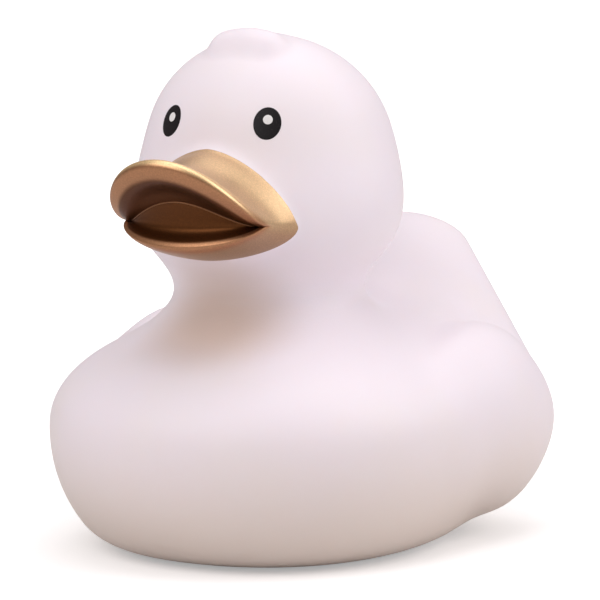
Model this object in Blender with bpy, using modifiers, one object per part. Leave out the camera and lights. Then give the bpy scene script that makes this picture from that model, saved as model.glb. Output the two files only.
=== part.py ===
"""A squeaking rubber duck: one hollow vinyl skin and the squeaker pressed into its base.

Metres, +Z up. The duck stands on z = 0 and looks along -Y, so +X is its left side.
The soft outer form is a smooth blend of simple solids. It is read as one function that is
negative inside, and the rings of a sphere are moved out onto its surface.
"""
import math

import bmesh
import bpy
import numpy as np

MM = 0.001

# Skin
WALL = 2.2 * MM
BASE_ROUNDING = 4.9 * MM

# Body, an egg that is flat underneath
BODY_Y = -6.9 * MM
BODY_Z = 21.1 * MM
BODY_HALF_WIDTH = 37.1 * MM
BODY_FRONT = 43.3 * MM
BODY_BACK = 39.5 * MM
BODY_UP = 18.8 * MM
BODY_DOWN = 30.9 * MM
BODY_PLAN_POWER = 2.16
BODY_SIDE_POWER = 2.12

# Tail, a broad cone that sweeps up at the back
TAIL_ROOT_Y = 17.7 * MM
TAIL_ROOT_Z = 20.1 * MM
TAIL_ROOT_RADIUS = 20.3 * MM
TAIL_TIP_Y = 39.0 * MM
TAIL_TIP_Z = 46.0 * MM
TAIL_TIP_RADIUS = 7.2 * MM
TAIL_BREADTH = 1.94
TAIL_BLEND = 9.5 * MM

# Neck
NECK_Y = -11.9 * MM
NECK_LOW_Z = 34.0 * MM
NECK_HIGH_Z = 52.0 * MM
NECK_RADIUS = 14.5 * MM
NECK_BLEND = 12.8 * MM
NECK_CREASE_Z = 45.0 * MM
NECK_CREASE_REACH = 7.0 * MM

# Wings, a long flat pad with a plump tip behind it on each side
WING_X = 29.1 * MM
WING_Y = 11.3 * MM
WING_Z = 21.0 * MM
WING_HALF_THICKNESS = 11.0 * MM
WING_HALF_LENGTH = 13.7 * MM
WING_HALF_HEIGHT = 16.2 * MM
WING_LIFT = math.radians(12.6)
PAD_X = 29.5 * MM
PAD_Y = -3.0 * MM
PAD_Z = 21.5 * MM
PAD_HALF_THICKNESS = 8.6 * MM
PAD_HALF_LENGTH = 17.0 * MM
PAD_HALF_HEIGHT = 13.0 * MM
PAD_BLEND = 8.0 * MM
WING_BLEND = 2.5 * MM

# Head, an egg with fuller cheeks
HEAD_Y = -11.4 * MM
HEAD_Z = 66.5 * MM
HEAD_HALF_WIDTH = 21.6 * MM
HEAD_HALF_DEPTH = 20.1 * MM
HEAD_HALF_HEIGHT = 20.7 * MM
CHEEK_BACK = 0.7 * MM
CHEEK_DROP = 8.7 * MM
CHEEK_HALF_WIDTH = 23.3 * MM
CHEEK_HALF_DEPTH = 20.3 * MM
CHEEK_HALF_HEIGHT = 15.2 * MM
CHEEK_BLEND = 6.0 * MM
HEAD_BLEND = 5.0 * MM

# Muzzle, the low mound that the beak grows out of
MUZZLE_DROP = 7.6 * MM
MUZZLE_FORWARD = 12.4 * MM
MUZZLE_HALF_WIDTH = 13.5 * MM
MUZZLE_HALF_DEPTH = 10.4 * MM
MUZZLE_HALF_HEIGHT = 9.4 * MM
MUZZLE_BLEND = 4.0 * MM

# Feather tuft, three small lobes on the forehead side of the crown
TUFT_FORWARD = 2.4 * MM
TUFT_RISE = 18.7 * MM
TUFT_SPACING = 4.8 * MM
TUFT_SIDE_DROP = 1.1 * MM
TUFT_HALF_WIDTH = 3.3 * MM
TUFT_HALF_LENGTH = 6.2 * MM
TUFT_HALF_HEIGHT = 3.4 * MM
TUFT_BLEND = 1.6 * MM

# Beak, measured from the mouth corner and the face in front of the head's middle
MOUTH_DROP = 9.7 * MM
BEAK_ROOT_HALF_WIDTH = 14.5 * MM
BEAK_ROOT_RISE = 11.7 * MM
BEAK_ROOT_FALL = 6.6 * MM
BEAK_ROOT_SINK = 1.0 * MM
BEAK_ROOT_TOP_ROUNDNESS = 1.6
BEAK_ROOT_CHIN_ROUNDNESS = 1.05
BEAK_CORE_DEPTH = 9.0 * MM
BEAK_CORE_SCALE = 0.8
FLANK_HALF_WIDTH = 14.0 * MM
FLANK_CORNER_REACH = -0.6 * MM
FLANK_TOP_REACH = 8.2 * MM
FLANK_TOP_RISE = 9.3 * MM
FLANK_CHIN_REACH = 3.8 * MM
FLANK_CHIN_FALL = 5.9 * MM
FLANK_TOP_ROUNDNESS = 1.7
FLANK_CHIN_ROUNDNESS = 1.1
RIM_HALF_WIDTH = 13.6 * MM
RIM_CORNER_REACH = 3.2 * MM
RIM_TOP_REACH = 16.9 * MM
RIM_TOP_RISE = 11.1 * MM
RIM_CHIN_REACH = 9.8 * MM
RIM_CHIN_FALL = 4.3 * MM
RIM_TOP_ROUNDNESS = 1.75
RIM_CHIN_ROUNDNESS = 1.3
LIP_HALF_WIDTH = 13.2 * MM
LIP_CORNER_REACH = 3.4 * MM
LIP_TOP_REACH = 15.6 * MM
LIP_TOP_RISE = 7.5 * MM
LIP_CHIN_REACH = 9.6 * MM
LIP_CHIN_FALL = 2.6 * MM
LIP_TOP_ROUNDNESS = 1.8
LIP_CHIN_ROUNDNESS = 1.2
HOLLOW_HALF_WIDTH = 12.7 * MM
HOLLOW_CORNER_REACH = 3.0 * MM
HOLLOW_TOP_REACH = 12.0 * MM
HOLLOW_TOP_RISE = 5.8 * MM
HOLLOW_CHIN_REACH = 8.0 * MM
HOLLOW_CHIN_RISE = 0.9 * MM
HOLLOW_TOP_ROUNDNESS = 2.2
HOLLOW_CHIN_ROUNDNESS = 3.0
MOUTH_HALF_WIDTH = 12.3 * MM
MOUTH_CORNER_REACH = 2.9 * MM
MOUTH_LINE_REACH = 9.8 * MM
MOUTH_LINE_RISE = 3.9 * MM
MOUTH_ROUNDNESS = 3.0
MOUTH_BOW = 1.5

# Printed eyes, thin ovals that follow the head
EYE_X = 9.1 * MM
EYE_RISE = 6.4 * MM
EYE_HALF_WIDTH = 2.3 * MM
EYE_HALF_HEIGHT = 2.75 * MM
EYE_PRINT = 0.15 * MM
EYE_SINK = WALL / 3
EYE_DOT_RADIUS = 0.83 * MM
EYE_DOT_RISE = 0.62 * MM

# Squeaker, pressed into a stepped hole in the base
SQUEAKER_Y = -6.0 * MM
CLEARANCE = 0.3 * MM
HOUSING_RADIUS = 6.5 * MM
HOUSING_WALL = 1.0 * MM
HOUSING_HEIGHT = 9.0 * MM
FLANGE_RADIUS = 8.2 * MM
FLANGE_THICKNESS = 0.9 * MM
BARB_OVERLAP = 0.6 * MM
BARB_HEIGHT = 1.6 * MM
SOUND_HOLE_RADIUS = 1.6 * MM
REED_BLOCK_HEIGHT = 4.2 * MM
REED_CHANNEL_WIDTH = 2.4 * MM
REED_WIDTH = 3.6 * MM
REED_LENGTH = 8.0 * MM
REED_THICKNESS = 0.4 * MM

# Fineness of the meshes
SKIN_SEGMENTS = 72
SKIN_RINGS = 58
CAVITY_SEGMENTS = 36
CAVITY_RINGS = 24
MERIDIAN_SAMPLES = 240
RAY_SAMPLES = 90
RAY_HALVINGS = 24
LONGEST_RAY = BODY_FRONT + BODY_BACK
FAN_Z = 7.0 * MM
NECK_MARGIN = 2.2 * MM
NECK_AIM_RISE = 8.0 * MM
NECK_AIM_DROP = 17.5 * MM
BODY_SHARE = 0.5
NECK_SHARE = 0.15
HEAD_SHARE = 1.0 - BODY_SHARE - NECK_SHARE
CROWN_DENSITY = 1.6
NECK_DENSITY = 2.4
BEAK_COLUMNS = 40
BEAK_STEPS = 3
EYE_SEGMENTS = 28
ROUND_SEGMENTS = 48

# Colours seen in the photograph, linear light
VINYL_WHITE = (0.82, 0.78, 0.80, 1.0)
GOLD_PAINT = (0.38, 0.21, 0.09, 1.0)
EYE_BLACK = (0.01, 0.008, 0.01, 1.0)
EYE_WHITE = (0.85, 0.85, 0.85, 1.0)
SQUEAKER_WHITE = (0.72, 0.70, 0.66, 1.0)
REED_CLEAR = (0.60, 0.62, 0.62, 1.0)

# Smooth solids: each returns a length that is negative inside


def join(first, second, blend):
    """Union of two solids with a fillet of about the blend length."""
    overlap = np.maximum(blend - np.abs(first - second), 0.0) / blend
    return np.minimum(first, second) - overlap * overlap * blend / 4


def common(first, second, blend):
    """Intersection of two solids with a rounded edge."""
    return -join(-first, -second, blend)


def ellipsoid(points, centre, radii, lift=0.0):
    """Ellipsoid whose long axis is raised towards +Y by the lift angle."""
    away = points - np.array(centre)
    along = away[:, 1] * math.cos(lift) + away[:, 2] * math.sin(lift)
    above = away[:, 2] * math.cos(lift) - away[:, 1] * math.sin(lift)
    local = np.stack([away[:, 0], along, above], axis=1)
    radii = np.array(radii)
    scaled = np.linalg.norm(local / radii, axis=1)
    slope = np.linalg.norm(local / radii ** 2, axis=1)
    return scaled * (scaled - 1.0) / np.maximum(slope, 1e-9)


def taper(points, start, end, start_radius, end_radius):
    """Cone with a ball at each end."""
    start = np.array(start)
    axis = np.array(end) - start
    length = np.linalg.norm(axis)
    axis = axis / length
    away = points - start
    along = away @ axis
    across = np.linalg.norm(away - along[:, None] * axis, axis=1)
    sine = (start_radius - end_radius) / length
    cosine = math.sqrt(1.0 - sine * sine)
    foot = np.clip(along - across * sine / cosine, 0.0, length)
    return np.hypot(across, along - foot) - (start_radius - sine * foot)


def egg(points):
    """The body: an oval in plan, rounder in front, fuller than an ellipse."""
    x = np.abs(points[:, 0]) / BODY_HALF_WIDTH
    y = points[:, 1] - BODY_Y
    z = points[:, 2] - BODY_Z
    y = np.where(y < 0, -y / BODY_FRONT, y / BODY_BACK)
    z = np.where(z > 0, z / BODY_UP, -z / BODY_DOWN)
    plan = (x ** BODY_PLAN_POWER + y ** BODY_PLAN_POWER) ** (1 / BODY_PLAN_POWER)
    scaled = (plan ** BODY_SIDE_POWER + z ** BODY_SIDE_POWER) ** (1 / BODY_SIDE_POWER)
    reach = np.linalg.norm(points - np.array([0.0, BODY_Y, BODY_Z]), axis=1)
    return (scaled - 1.0) * reach / np.maximum(scaled, 1e-6)


def tail(points):
    narrow = points * np.array([1 / TAIL_BREADTH, 1.0, 1.0])
    root = (0.0, TAIL_ROOT_Y, TAIL_ROOT_Z)
    tip = (0.0, TAIL_TIP_Y, TAIL_TIP_Z)
    return taper(narrow, root, tip, TAIL_ROOT_RADIUS, TAIL_TIP_RADIUS)


def wing(points):
    tip = ellipsoid(
        points,
        (WING_X, WING_Y, WING_Z),
        (WING_HALF_THICKNESS, WING_HALF_LENGTH, WING_HALF_HEIGHT),
        WING_LIFT,
    )
    pad = ellipsoid(
        points,
        (PAD_X, PAD_Y, PAD_Z),
        (PAD_HALF_THICKNESS, PAD_HALF_LENGTH, PAD_HALF_HEIGHT),
        WING_LIFT,
    )
    return join(tip, pad, PAD_BLEND)


def head(points):
    skull = ellipsoid(
        points,
        (0.0, HEAD_Y, HEAD_Z),
        (HEAD_HALF_WIDTH, HEAD_HALF_DEPTH, HEAD_HALF_HEIGHT),
    )
    cheeks = ellipsoid(
        points,
        (0.0, HEAD_Y - CHEEK_BACK, HEAD_Z - CHEEK_DROP),
        (CHEEK_HALF_WIDTH, CHEEK_HALF_DEPTH, CHEEK_HALF_HEIGHT),
    )
    return join(skull, cheeks, CHEEK_BLEND)


def muzzle(points):
    centre = (0.0, HEAD_Y - MUZZLE_FORWARD, HEAD_Z - MUZZLE_DROP)
    return ellipsoid(points, centre, (MUZZLE_HALF_WIDTH, MUZZLE_HALF_DEPTH, MUZZLE_HALF_HEIGHT))


def tuft(points):
    lobes = None
    for place in (-1, 0, 1):
        centre = (
            place * TUFT_SPACING,
            HEAD_Y - TUFT_FORWARD,
            HEAD_Z + TUFT_RISE - abs(place) * TUFT_SIDE_DROP,
        )
        lobe = ellipsoid(points, centre, (TUFT_HALF_WIDTH, TUFT_HALF_LENGTH, TUFT_HALF_HEIGHT))
        lobes = lobe if lobes is None else join(lobes, lobe, TUFT_BLEND / 2)
    return lobes


def duck(points):
    """The whole outer form without the beak, symmetric about x = 0."""
    mirrored = points.copy()
    mirrored[:, 0] = np.abs(mirrored[:, 0])
    neck_low = (0.0, NECK_Y, NECK_LOW_Z)
    neck_high = (0.0, NECK_Y, NECK_HIGH_Z)
    form = join(egg(mirrored), tail(mirrored), TAIL_BLEND)
    form = join(form, taper(mirrored, neck_low, neck_high, NECK_RADIUS, NECK_RADIUS), NECK_BLEND)
    form = join(form, wing(mirrored), WING_BLEND)
    form = common(form, -mirrored[:, 2], BASE_ROUNDING)
    form = join(form, head(mirrored), HEAD_BLEND)
    form = join(form, muzzle(mirrored), MUZZLE_BLEND)
    return join(form, tuft(points), TUFT_BLEND)


def air_space(points):
    """The hollow inside: one wall thickness within the outer form."""
    return duck(points) + WALL


# Rays from inside the duck out to its surface


def first_exit(form, starts, directions):
    """Where each ray that starts inside the form first leaves it."""
    steps = np.linspace(0.0, LONGEST_RAY, RAY_SAMPLES)
    places = starts[:, None, :] + directions[:, None, :] * steps[None, :, None]
    outside = form(places.reshape(-1, 3)).reshape(len(starts), -1) > 0
    crossing = np.maximum(outside.argmax(axis=1), 1)
    near = steps[crossing - 1]
    far = steps[crossing]
    for _ in range(RAY_HALVINGS):
        middle = (near + far) / 2
        inside = form(starts + directions * middle[:, None]) < 0
        near = np.where(inside, middle, near)
        far = np.where(inside, far, middle)
    return starts + directions * ((near + far) / 2)[:, None]


def spine_ray(height, azimuth):
    """Start and direction of the ray for a height from 0, underneath, to 1, the crown.

    Rays fan out from a point low in the body, aim at the neck from below, level and above
    while their start climbs to the middle of the head, and fan out again from there.
    """
    low = np.array([0.0, NECK_Y, FAN_Z])
    high = np.array([0.0, HEAD_Y, HEAD_Z])
    along_neck = np.clip((height - BODY_SHARE) / NECK_SHARE, 0.0, 1.0)
    start = low + (high - low) * along_neck[:, None]
    aim_low = NECK_LOW_Z + NECK_AIM_RISE
    aim_high = HEAD_Z - NECK_AIM_DROP
    aim_z = aim_low + (aim_high - aim_low) * along_neck
    rise_to_neck = np.arctan2(aim_z - start[:, 2], NECK_RADIUS + NECK_MARGIN)
    below_neck = np.clip(height / BODY_SHARE, 0.0, 1.0)
    above_neck = np.clip((height - BODY_SHARE - NECK_SHARE) / HEAD_SHARE, 0.0, 1.0)
    straight_up = math.pi / 2
    rise = (rise_to_neck + straight_up) * below_neck - straight_up
    rise = rise + (straight_up - rise) * above_neck
    level = np.cos(rise)
    direction = np.stack([level * np.cos(azimuth), level * np.sin(azimuth), np.sin(rise)], axis=1)
    return start, direction


def even_heights(form, azimuth, rings):
    """Heights along one meridian that give rings at even distances, closer at neck and crown."""
    samples = np.linspace(0.0, 1.0, MERIDIAN_SAMPLES)
    starts, directions = spine_ray(samples, np.full(MERIDIAN_SAMPLES, azimuth))
    line = first_exit(form, starts, directions)
    lengths = np.linalg.norm(np.diff(line, axis=0), axis=1)
    on_crown = np.clip((line[1:, 2] - HEAD_Z) / HEAD_HALF_HEIGHT, 0.0, 1.0)
    at_neck = np.exp(-(((line[1:, 2] - NECK_CREASE_Z) / NECK_CREASE_REACH) ** 2))
    lengths = lengths * (1.0 + CROWN_DENSITY * on_crown + NECK_DENSITY * at_neck)
    walked = np.concatenate([[0.0], np.cumsum(lengths)])
    return np.interp(np.linspace(0.0, walked[-1], rings + 1), walked, samples)


def move_onto(mesh, form, segments, rings):
    """Move the vertices of a sphere primitive out onto the surface of a form."""
    unit = np.array([vertex.co[:] for vertex in mesh.verts])
    ring = np.rint(np.arccos(np.clip(-unit[:, 2], -1.0, 1.0)) / math.pi * rings).astype(int)
    azimuth = np.arctan2(unit[:, 1], unit[:, 0])
    segment = np.rint(azimuth / (2 * math.pi) * segments).astype(int) % segments
    turns = np.arange(segments) * 2 * math.pi / segments
    heights = np.array([even_heights(form, turn, rings) for turn in turns])
    starts, directions = spine_ray(heights[segment, ring], turns[segment])
    places = first_exit(form, starts, directions)
    for vertex, place in zip(mesh.verts, places):
        vertex.co = place


# Building blocks


def material(name, colour, roughness, metallic=0.0):
    made = bpy.data.materials.new(name)
    made.use_nodes = True
    shader = made.node_tree.nodes["Principled BSDF"]
    shader.inputs["Base Color"].default_value = colour
    shader.inputs["Roughness"].default_value = roughness
    shader.inputs["Metallic"].default_value = metallic
    made.diffuse_color = colour
    return made


def collection(name):
    made = bpy.data.collections.new(name)
    bpy.context.scene.collection.children.link(made)
    return made


def finish(mesh, name, slots, group):
    """Turn a bmesh into an object with its materials, in a collection."""
    bmesh.ops.recalc_face_normals(mesh, faces=mesh.faces)
    data = bpy.data.meshes.new(name)
    mesh.to_mesh(data)
    mesh.free()
    for slot in slots:
        data.materials.append(slot)
    made = bpy.data.objects.new(name, data)
    group.objects.link(made)
    return made


def combine(target, other, operation):
    """Boolean the target with the other solid."""
    modifier = target.modifiers.new(operation.title() + " " + other.name, "BOOLEAN")
    modifier.object = other
    modifier.operation = operation
    modifier.solver = "EXACT"
    modifier.material_mode = "TRANSFER"
    other.hide_render = True
    other.display_type = "WIRE"


def skin(name, form, segments, rings, slots, group):
    """A closed skin on a form, from a sphere primitive."""
    mesh = bmesh.new()
    bmesh.ops.create_uvsphere(mesh, u_segments=segments, v_segments=rings, radius=1.0)
    move_onto(mesh, form, segments, rings)
    return finish(mesh, name, slots, group)


def turned(name, profile, slots, group):
    """A turned solid: the profile runs down the outer side from the axis back to the axis."""
    data = bpy.data.meshes.new(name)
    corners = [(radius, 0.0, height) for radius, height in profile]
    edges = [(index, index + 1) for index in range(len(corners) - 1)]
    data.from_pydata(corners, edges, [])
    for slot in slots:
        data.materials.append(slot)
    made = bpy.data.objects.new(name, data)
    group.objects.link(made)
    screw = made.modifiers.new("Turn", "SCREW")
    screw.steps = ROUND_SEGMENTS
    screw.render_steps = ROUND_SEGMENTS
    screw.use_merge_vertices = True
    screw.merge_threshold = 0.01 * MM
    return made


# Beak, a loft from its root in the face over the rim to the line between the lips


def half_ring(half_width, corner, reach, rise, roundness, bow=1.0):
    """Half of a beak section: an arch from one mouth corner over the middle to the other.

    Corner holds the corner's forward reach and its height above the mouth line. A greater
    roundness keeps the arch low beside the corners, and a greater bow keeps it back there.
    """
    turns = np.linspace(-math.pi / 2, math.pi / 2, BEAK_COLUMNS // 2 + 1)
    level = np.clip(np.cos(turns), 0.0, 1.0)
    x = half_width * np.sin(turns)
    forward = corner[0] + (reach - corner[0]) * level ** bow
    z = corner[1] + (rise - corner[1]) * level ** roundness
    return np.stack([x, -forward, z], axis=1)


def face_point():
    """The point of the face in front of the head's middle, at the height of the mouth."""
    mouth_z = HEAD_Z - MOUTH_DROP
    start = np.array([[0.0, HEAD_Y, mouth_z]])
    return first_exit(head, start, np.array([[0.0, -1.0, 0.0]]))[0]


def beak_root(rise, fall, sink):
    """The section where the beak meets the face, sunk a little below the surface."""
    face = face_point()
    level = (0.0, 0.0)
    upper = half_ring(BEAK_ROOT_HALF_WIDTH, level, 0.0, rise, BEAK_ROOT_TOP_ROUNDNESS)
    lower = half_ring(BEAK_ROOT_HALF_WIDTH, level, 0.0, -fall, BEAK_ROOT_CHIN_ROUNDNESS)
    ring = np.concatenate([upper, lower[-2:0:-1]])
    starts = ring + np.array([0.0, HEAD_Y, face[2]])
    forward = np.tile(np.array([[0.0, -1.0, 0.0]]), (len(ring), 1))
    return first_exit(duck, starts, forward) + np.array([0.0, sink, 0.0])


def beak_section(half_width, corner_reach, upper, lower, corner_rise=0.0):
    """One ring of the beak; upper and lower hold reach, rise, roundness and any bow."""
    corner = (corner_reach, corner_rise)
    over = half_ring(half_width, corner, *upper)
    under = half_ring(half_width, corner, *lower)
    return np.concatenate([over, under[-2:0:-1]]) + face_point()


def beak_rings():
    """All the rings of the beak from its core inside the head to the mouth line."""
    root = beak_root(BEAK_ROOT_RISE, BEAK_ROOT_FALL, BEAK_ROOT_SINK)
    face = face_point()
    core = root * np.array([BEAK_CORE_SCALE, 1.0, 1.0]) + np.array([0.0, BEAK_CORE_DEPTH, 0.0])
    core[:, 2] = face[2] + (core[:, 2] - face[2]) * BEAK_CORE_SCALE
    flank = beak_section(
        FLANK_HALF_WIDTH,
        FLANK_CORNER_REACH,
        (FLANK_TOP_REACH, FLANK_TOP_RISE, FLANK_TOP_ROUNDNESS),
        (FLANK_CHIN_REACH, -FLANK_CHIN_FALL, FLANK_CHIN_ROUNDNESS),
    )
    rim = beak_section(
        RIM_HALF_WIDTH,
        RIM_CORNER_REACH,
        (RIM_TOP_REACH, RIM_TOP_RISE, RIM_TOP_ROUNDNESS),
        (RIM_CHIN_REACH, -RIM_CHIN_FALL, RIM_CHIN_ROUNDNESS),
    )
    lip = beak_section(
        LIP_HALF_WIDTH,
        LIP_CORNER_REACH,
        (LIP_TOP_REACH, LIP_TOP_RISE, LIP_TOP_ROUNDNESS),
        (LIP_CHIN_REACH, -LIP_CHIN_FALL, LIP_CHIN_ROUNDNESS),
    )
    hollow = beak_section(
        HOLLOW_HALF_WIDTH,
        HOLLOW_CORNER_REACH,
        (HOLLOW_TOP_REACH, HOLLOW_TOP_RISE, HOLLOW_TOP_ROUNDNESS),
        (HOLLOW_CHIN_REACH, HOLLOW_CHIN_RISE, HOLLOW_CHIN_ROUNDNESS),
    )
    line = (MOUTH_LINE_REACH, MOUTH_LINE_RISE, MOUTH_ROUNDNESS, MOUTH_BOW)
    mouth = beak_section(MOUTH_HALF_WIDTH, MOUTH_CORNER_REACH, line, line)
    return [core, root, flank, rim, lip, hollow, mouth]


def smooth_rings(rings, steps):
    """Rings between the given ones, on a smooth curve through them that never overshoots."""
    rings = np.array(rings)
    leaps = np.diff(rings, axis=0)
    before, after = leaps[:-1], leaps[1:]
    agree = before * after > 0
    slopes = np.concatenate([leaps[:1], np.zeros_like(after), leaps[-1:]])
    np.divide(2 * before * after, before + after, out=slopes[1:-1], where=agree)
    result = [rings[0]]
    for index in range(1, len(leaps)):
        for step in range(steps):
            part = step / steps
            bend = part * (1 - part)
            way = part * part * (3 - 2 * part)
            lead = bend * ((1 - part) * slopes[index] - part * slopes[index + 1])
            result.append(rings[index] + way * leaps[index] + lead)
    result.append(rings[-1])
    return result


def beak(slots, group):
    """The solid beak, lofted ring by ring and zipped together along the mouth line."""
    mesh = bmesh.new()
    rings = smooth_rings(beak_rings(), BEAK_STEPS)
    columns = len(rings[0])
    grid = [[mesh.verts.new(point) for point in ring] for ring in rings]
    for near, far in zip(grid, grid[1:]):
        for index in range(columns):
            after = (index + 1) % columns
            mesh.faces.new((near[index], near[after], far[after], far[index]))
    middle = mesh.verts.new(np.mean(rings[0], axis=0))
    for index in range(columns):
        mesh.faces.new((grid[0][(index + 1) % columns], grid[0][index], middle))
    bmesh.ops.remove_doubles(mesh, verts=grid[-1], dist=0.01 * MM)
    return finish(mesh, "beak", slots, group)


# Printed eyes


def eye_frame(side):
    """Where an eye lies on the head, with the level, upward and outward directions there."""
    start = np.array([[side * EYE_X, HEAD_Y, HEAD_Z + EYE_RISE]])
    place = first_exit(duck, start, np.array([[0.0, -1.0, 0.0]]))
    nearby = place + np.eye(3) * EYE_PRINT
    outward = duck(nearby) - duck(place)
    outward = outward / np.linalg.norm(outward)
    level = np.cross(outward, (0.0, 0.0, 1.0))
    level = level / np.linalg.norm(level)
    return place[0], level, np.cross(level, outward), outward


def eye_disc(name, side, half_width, half_height, rise, thickness, slots, group):
    """A printed oval that lies on the head, with its back edge sunk into it."""
    mesh = bmesh.new()
    bmesh.ops.create_cone(
        mesh, cap_ends=True, cap_tris=True, segments=EYE_SEGMENTS, radius1=1.0, radius2=1.0, depth=2.0
    )
    oval = np.array([vertex.co[:] for vertex in mesh.verts])
    middle, level, upward, outward = eye_frame(side)
    across = oval[:, :1] * half_width * level
    upright = (rise + oval[:, 1:2] * half_height) * upward
    starts = middle + across + upright - outward * HEAD_HALF_WIDTH / 2
    places = first_exit(duck, starts, np.tile(outward, (len(oval), 1)))
    proud = np.where(oval[:, 2:] > 0, thickness, -EYE_SINK)
    for vertex, place in zip(mesh.verts, places + outward * proud):
        vertex.co = place
    return finish(mesh, name, slots, group)


# Squeaker pieces


def squeaker_housing(slots, group):
    """A cup with a flange below, a barb above the skin, and a sound hole in its top."""
    inner = HOUSING_RADIUS - HOUSING_WALL
    barb = HOUSING_RADIUS + BARB_OVERLAP
    flange_low = CLEARANCE
    flange_high = flange_low + FLANGE_THICKNESS
    barb_low = WALL + CLEARANCE
    profile = [
        (SOUND_HOLE_RADIUS, HOUSING_HEIGHT),
        (HOUSING_RADIUS - HOUSING_WALL / 2, HOUSING_HEIGHT),
        (HOUSING_RADIUS, HOUSING_HEIGHT - HOUSING_WALL / 2),
        (HOUSING_RADIUS, barb_low + BARB_HEIGHT),
        (barb, barb_low),
        (HOUSING_RADIUS, barb_low),
        (HOUSING_RADIUS, flange_high),
        (FLANGE_RADIUS, flange_high),
        (FLANGE_RADIUS, flange_low),
        (inner, flange_low),
        (inner, HOUSING_HEIGHT - HOUSING_WALL),
        (SOUND_HOLE_RADIUS, HOUSING_HEIGHT - HOUSING_WALL),
        (SOUND_HOLE_RADIUS, HOUSING_HEIGHT),
    ]
    return turned("squeaker_housing", profile, slots, group)


def reed_block(slots, group):
    """A plug inside the cup with the air channel cut across its top."""
    radius = HOUSING_RADIUS - HOUSING_WALL - CLEARANCE
    mesh = bmesh.new()
    bmesh.ops.create_cone(
        mesh,
        cap_ends=True,
        segments=ROUND_SEGMENTS,
        radius1=radius,
        radius2=radius,
        depth=REED_BLOCK_HEIGHT,
    )
    return finish(mesh, "squeaker_reed_block", slots, group)


def reed(slots, group):
    """A thin spring plate that covers the air channel."""
    mesh = bmesh.new()
    bmesh.ops.create_cube(mesh, size=1.0)
    bmesh.ops.scale(mesh, vec=(REED_WIDTH, REED_LENGTH, REED_THICKNESS), verts=mesh.verts)
    return finish(mesh, "squeaker_reed", slots, group)


def cylinder_cutter(name, radius, low, high, group):
    """An upright cylinder on the squeaker's axis, for a hole."""
    mesh = bmesh.new()
    bmesh.ops.create_cone(
        mesh,
        cap_ends=True,
        segments=ROUND_SEGMENTS,
        radius1=radius,
        radius2=radius,
        depth=high - low,
    )
    made = finish(mesh, name, [], group)
    made.location = (0.0, SQUEAKER_Y, (low + high) / 2)
    return made


def channel_cutter(group):
    """The block's upright air channel, shorter and narrower than the reed."""
    mesh = bmesh.new()
    bmesh.ops.create_cube(mesh, size=1.0)
    length = REED_LENGTH - 2 * (REED_WIDTH - REED_CHANNEL_WIDTH)
    size = (REED_CHANNEL_WIDTH, length, 2 * REED_BLOCK_HEIGHT)
    bmesh.ops.scale(mesh, vec=size, verts=mesh.verts)
    return finish(mesh, "air_channel", [], group)


def squeaker(parts, cutters):
    """The three squeaker pieces, stacked on one axis."""
    white = material("squeaker_plastic", SQUEAKER_WHITE, 0.45)
    clear = material("reed_film", REED_CLEAR, 0.25)
    housing = squeaker_housing([white], parts)
    housing.location = (0.0, SQUEAKER_Y, 0.0)
    block = reed_block([white], parts)
    reed_top = HOUSING_HEIGHT - HOUSING_WALL - CLEARANCE
    reed_middle = reed_top - REED_THICKNESS / 2
    block_top = reed_top - REED_THICKNESS - CLEARANCE
    block.location = (0.0, SQUEAKER_Y, block_top - REED_BLOCK_HEIGHT / 2)
    channel = channel_cutter(cutters)
    channel.location = block.location
    combine(block, channel, "DIFFERENCE")
    plate = reed([clear], parts)
    plate.location = (0.0, SQUEAKER_Y, reed_middle)
    return [housing, block, plate, channel]


def duck_body(parts, cutters):
    """The moulded skin with its beak, printed eyes, air space and squeaker hole."""
    white = material("vinyl_white", VINYL_WHITE, 0.45)
    gold = material("gold_paint", GOLD_PAINT, 0.35, 0.7)
    black = material("eye_black", EYE_BLACK, 0.3)
    dot_white = material("eye_white", EYE_WHITE, 0.4)
    body = skin("duck_body", duck, SKIN_SEGMENTS, SKIN_RINGS, [white, gold, black, dot_white], parts)
    helpers = [beak([gold], cutters)]
    combine(body, helpers[0], "UNION")
    for side, word in ((-1, "right"), (1, "left")):
        eye = eye_disc(
            word + "_eye", side, EYE_HALF_WIDTH, EYE_HALF_HEIGHT, 0.0, EYE_PRINT, [black], cutters
        )
        dot = eye_disc(
            word + "_eye_dot",
            side,
            EYE_DOT_RADIUS,
            EYE_DOT_RADIUS,
            EYE_DOT_RISE,
            2 * EYE_PRINT,
            [dot_white],
            cutters,
        )
        combine(body, eye, "UNION")
        combine(body, dot, "UNION")
        helpers.extend([eye, dot])
    hollow = skin("air_space", air_space, CAVITY_SEGMENTS, CAVITY_RINGS, [white], cutters)
    hole = cylinder_cutter(
        "squeaker_hole", HOUSING_RADIUS + CLEARANCE, -2 * WALL, 2 * WALL, cutters
    )
    step_radius = FLANGE_RADIUS + CLEARANCE
    step_height = FLANGE_THICKNESS + 2 * CLEARANCE
    step = cylinder_cutter("flange_step", step_radius, -WALL, step_height, cutters)
    for cutter in (hollow, hole, step):
        combine(body, cutter, "DIFFERENCE")
    return [body, *helpers, hollow, hole, step]


def clear_scene():
    for item in list(bpy.data.objects):
        bpy.data.objects.remove(item, do_unlink=True)


def main():
    clear_scene()
    parts = collection("Rubber duck")
    cutters = collection("Cutters")
    pieces = duck_body(parts, cutters) + squeaker(parts, cutters)
    depths = [vertex.co.y for vertex in pieces[0].data.vertices]
    centre = bpy.data.objects.new("rubber_duck", None)
    centre.location = (0.0, -(min(depths) + max(depths)) / 2, 0.0)
    parts.objects.link(centre)
    for piece in pieces:
        piece.parent = centre


main()
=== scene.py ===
import math

import bmesh
import bpy
import numpy as np
from bpy.props import FloatProperty, FloatVectorProperty, IntProperty, PointerProperty
from mathutils import Matrix, Vector
from mathutils.kdtree import KDTree


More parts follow.
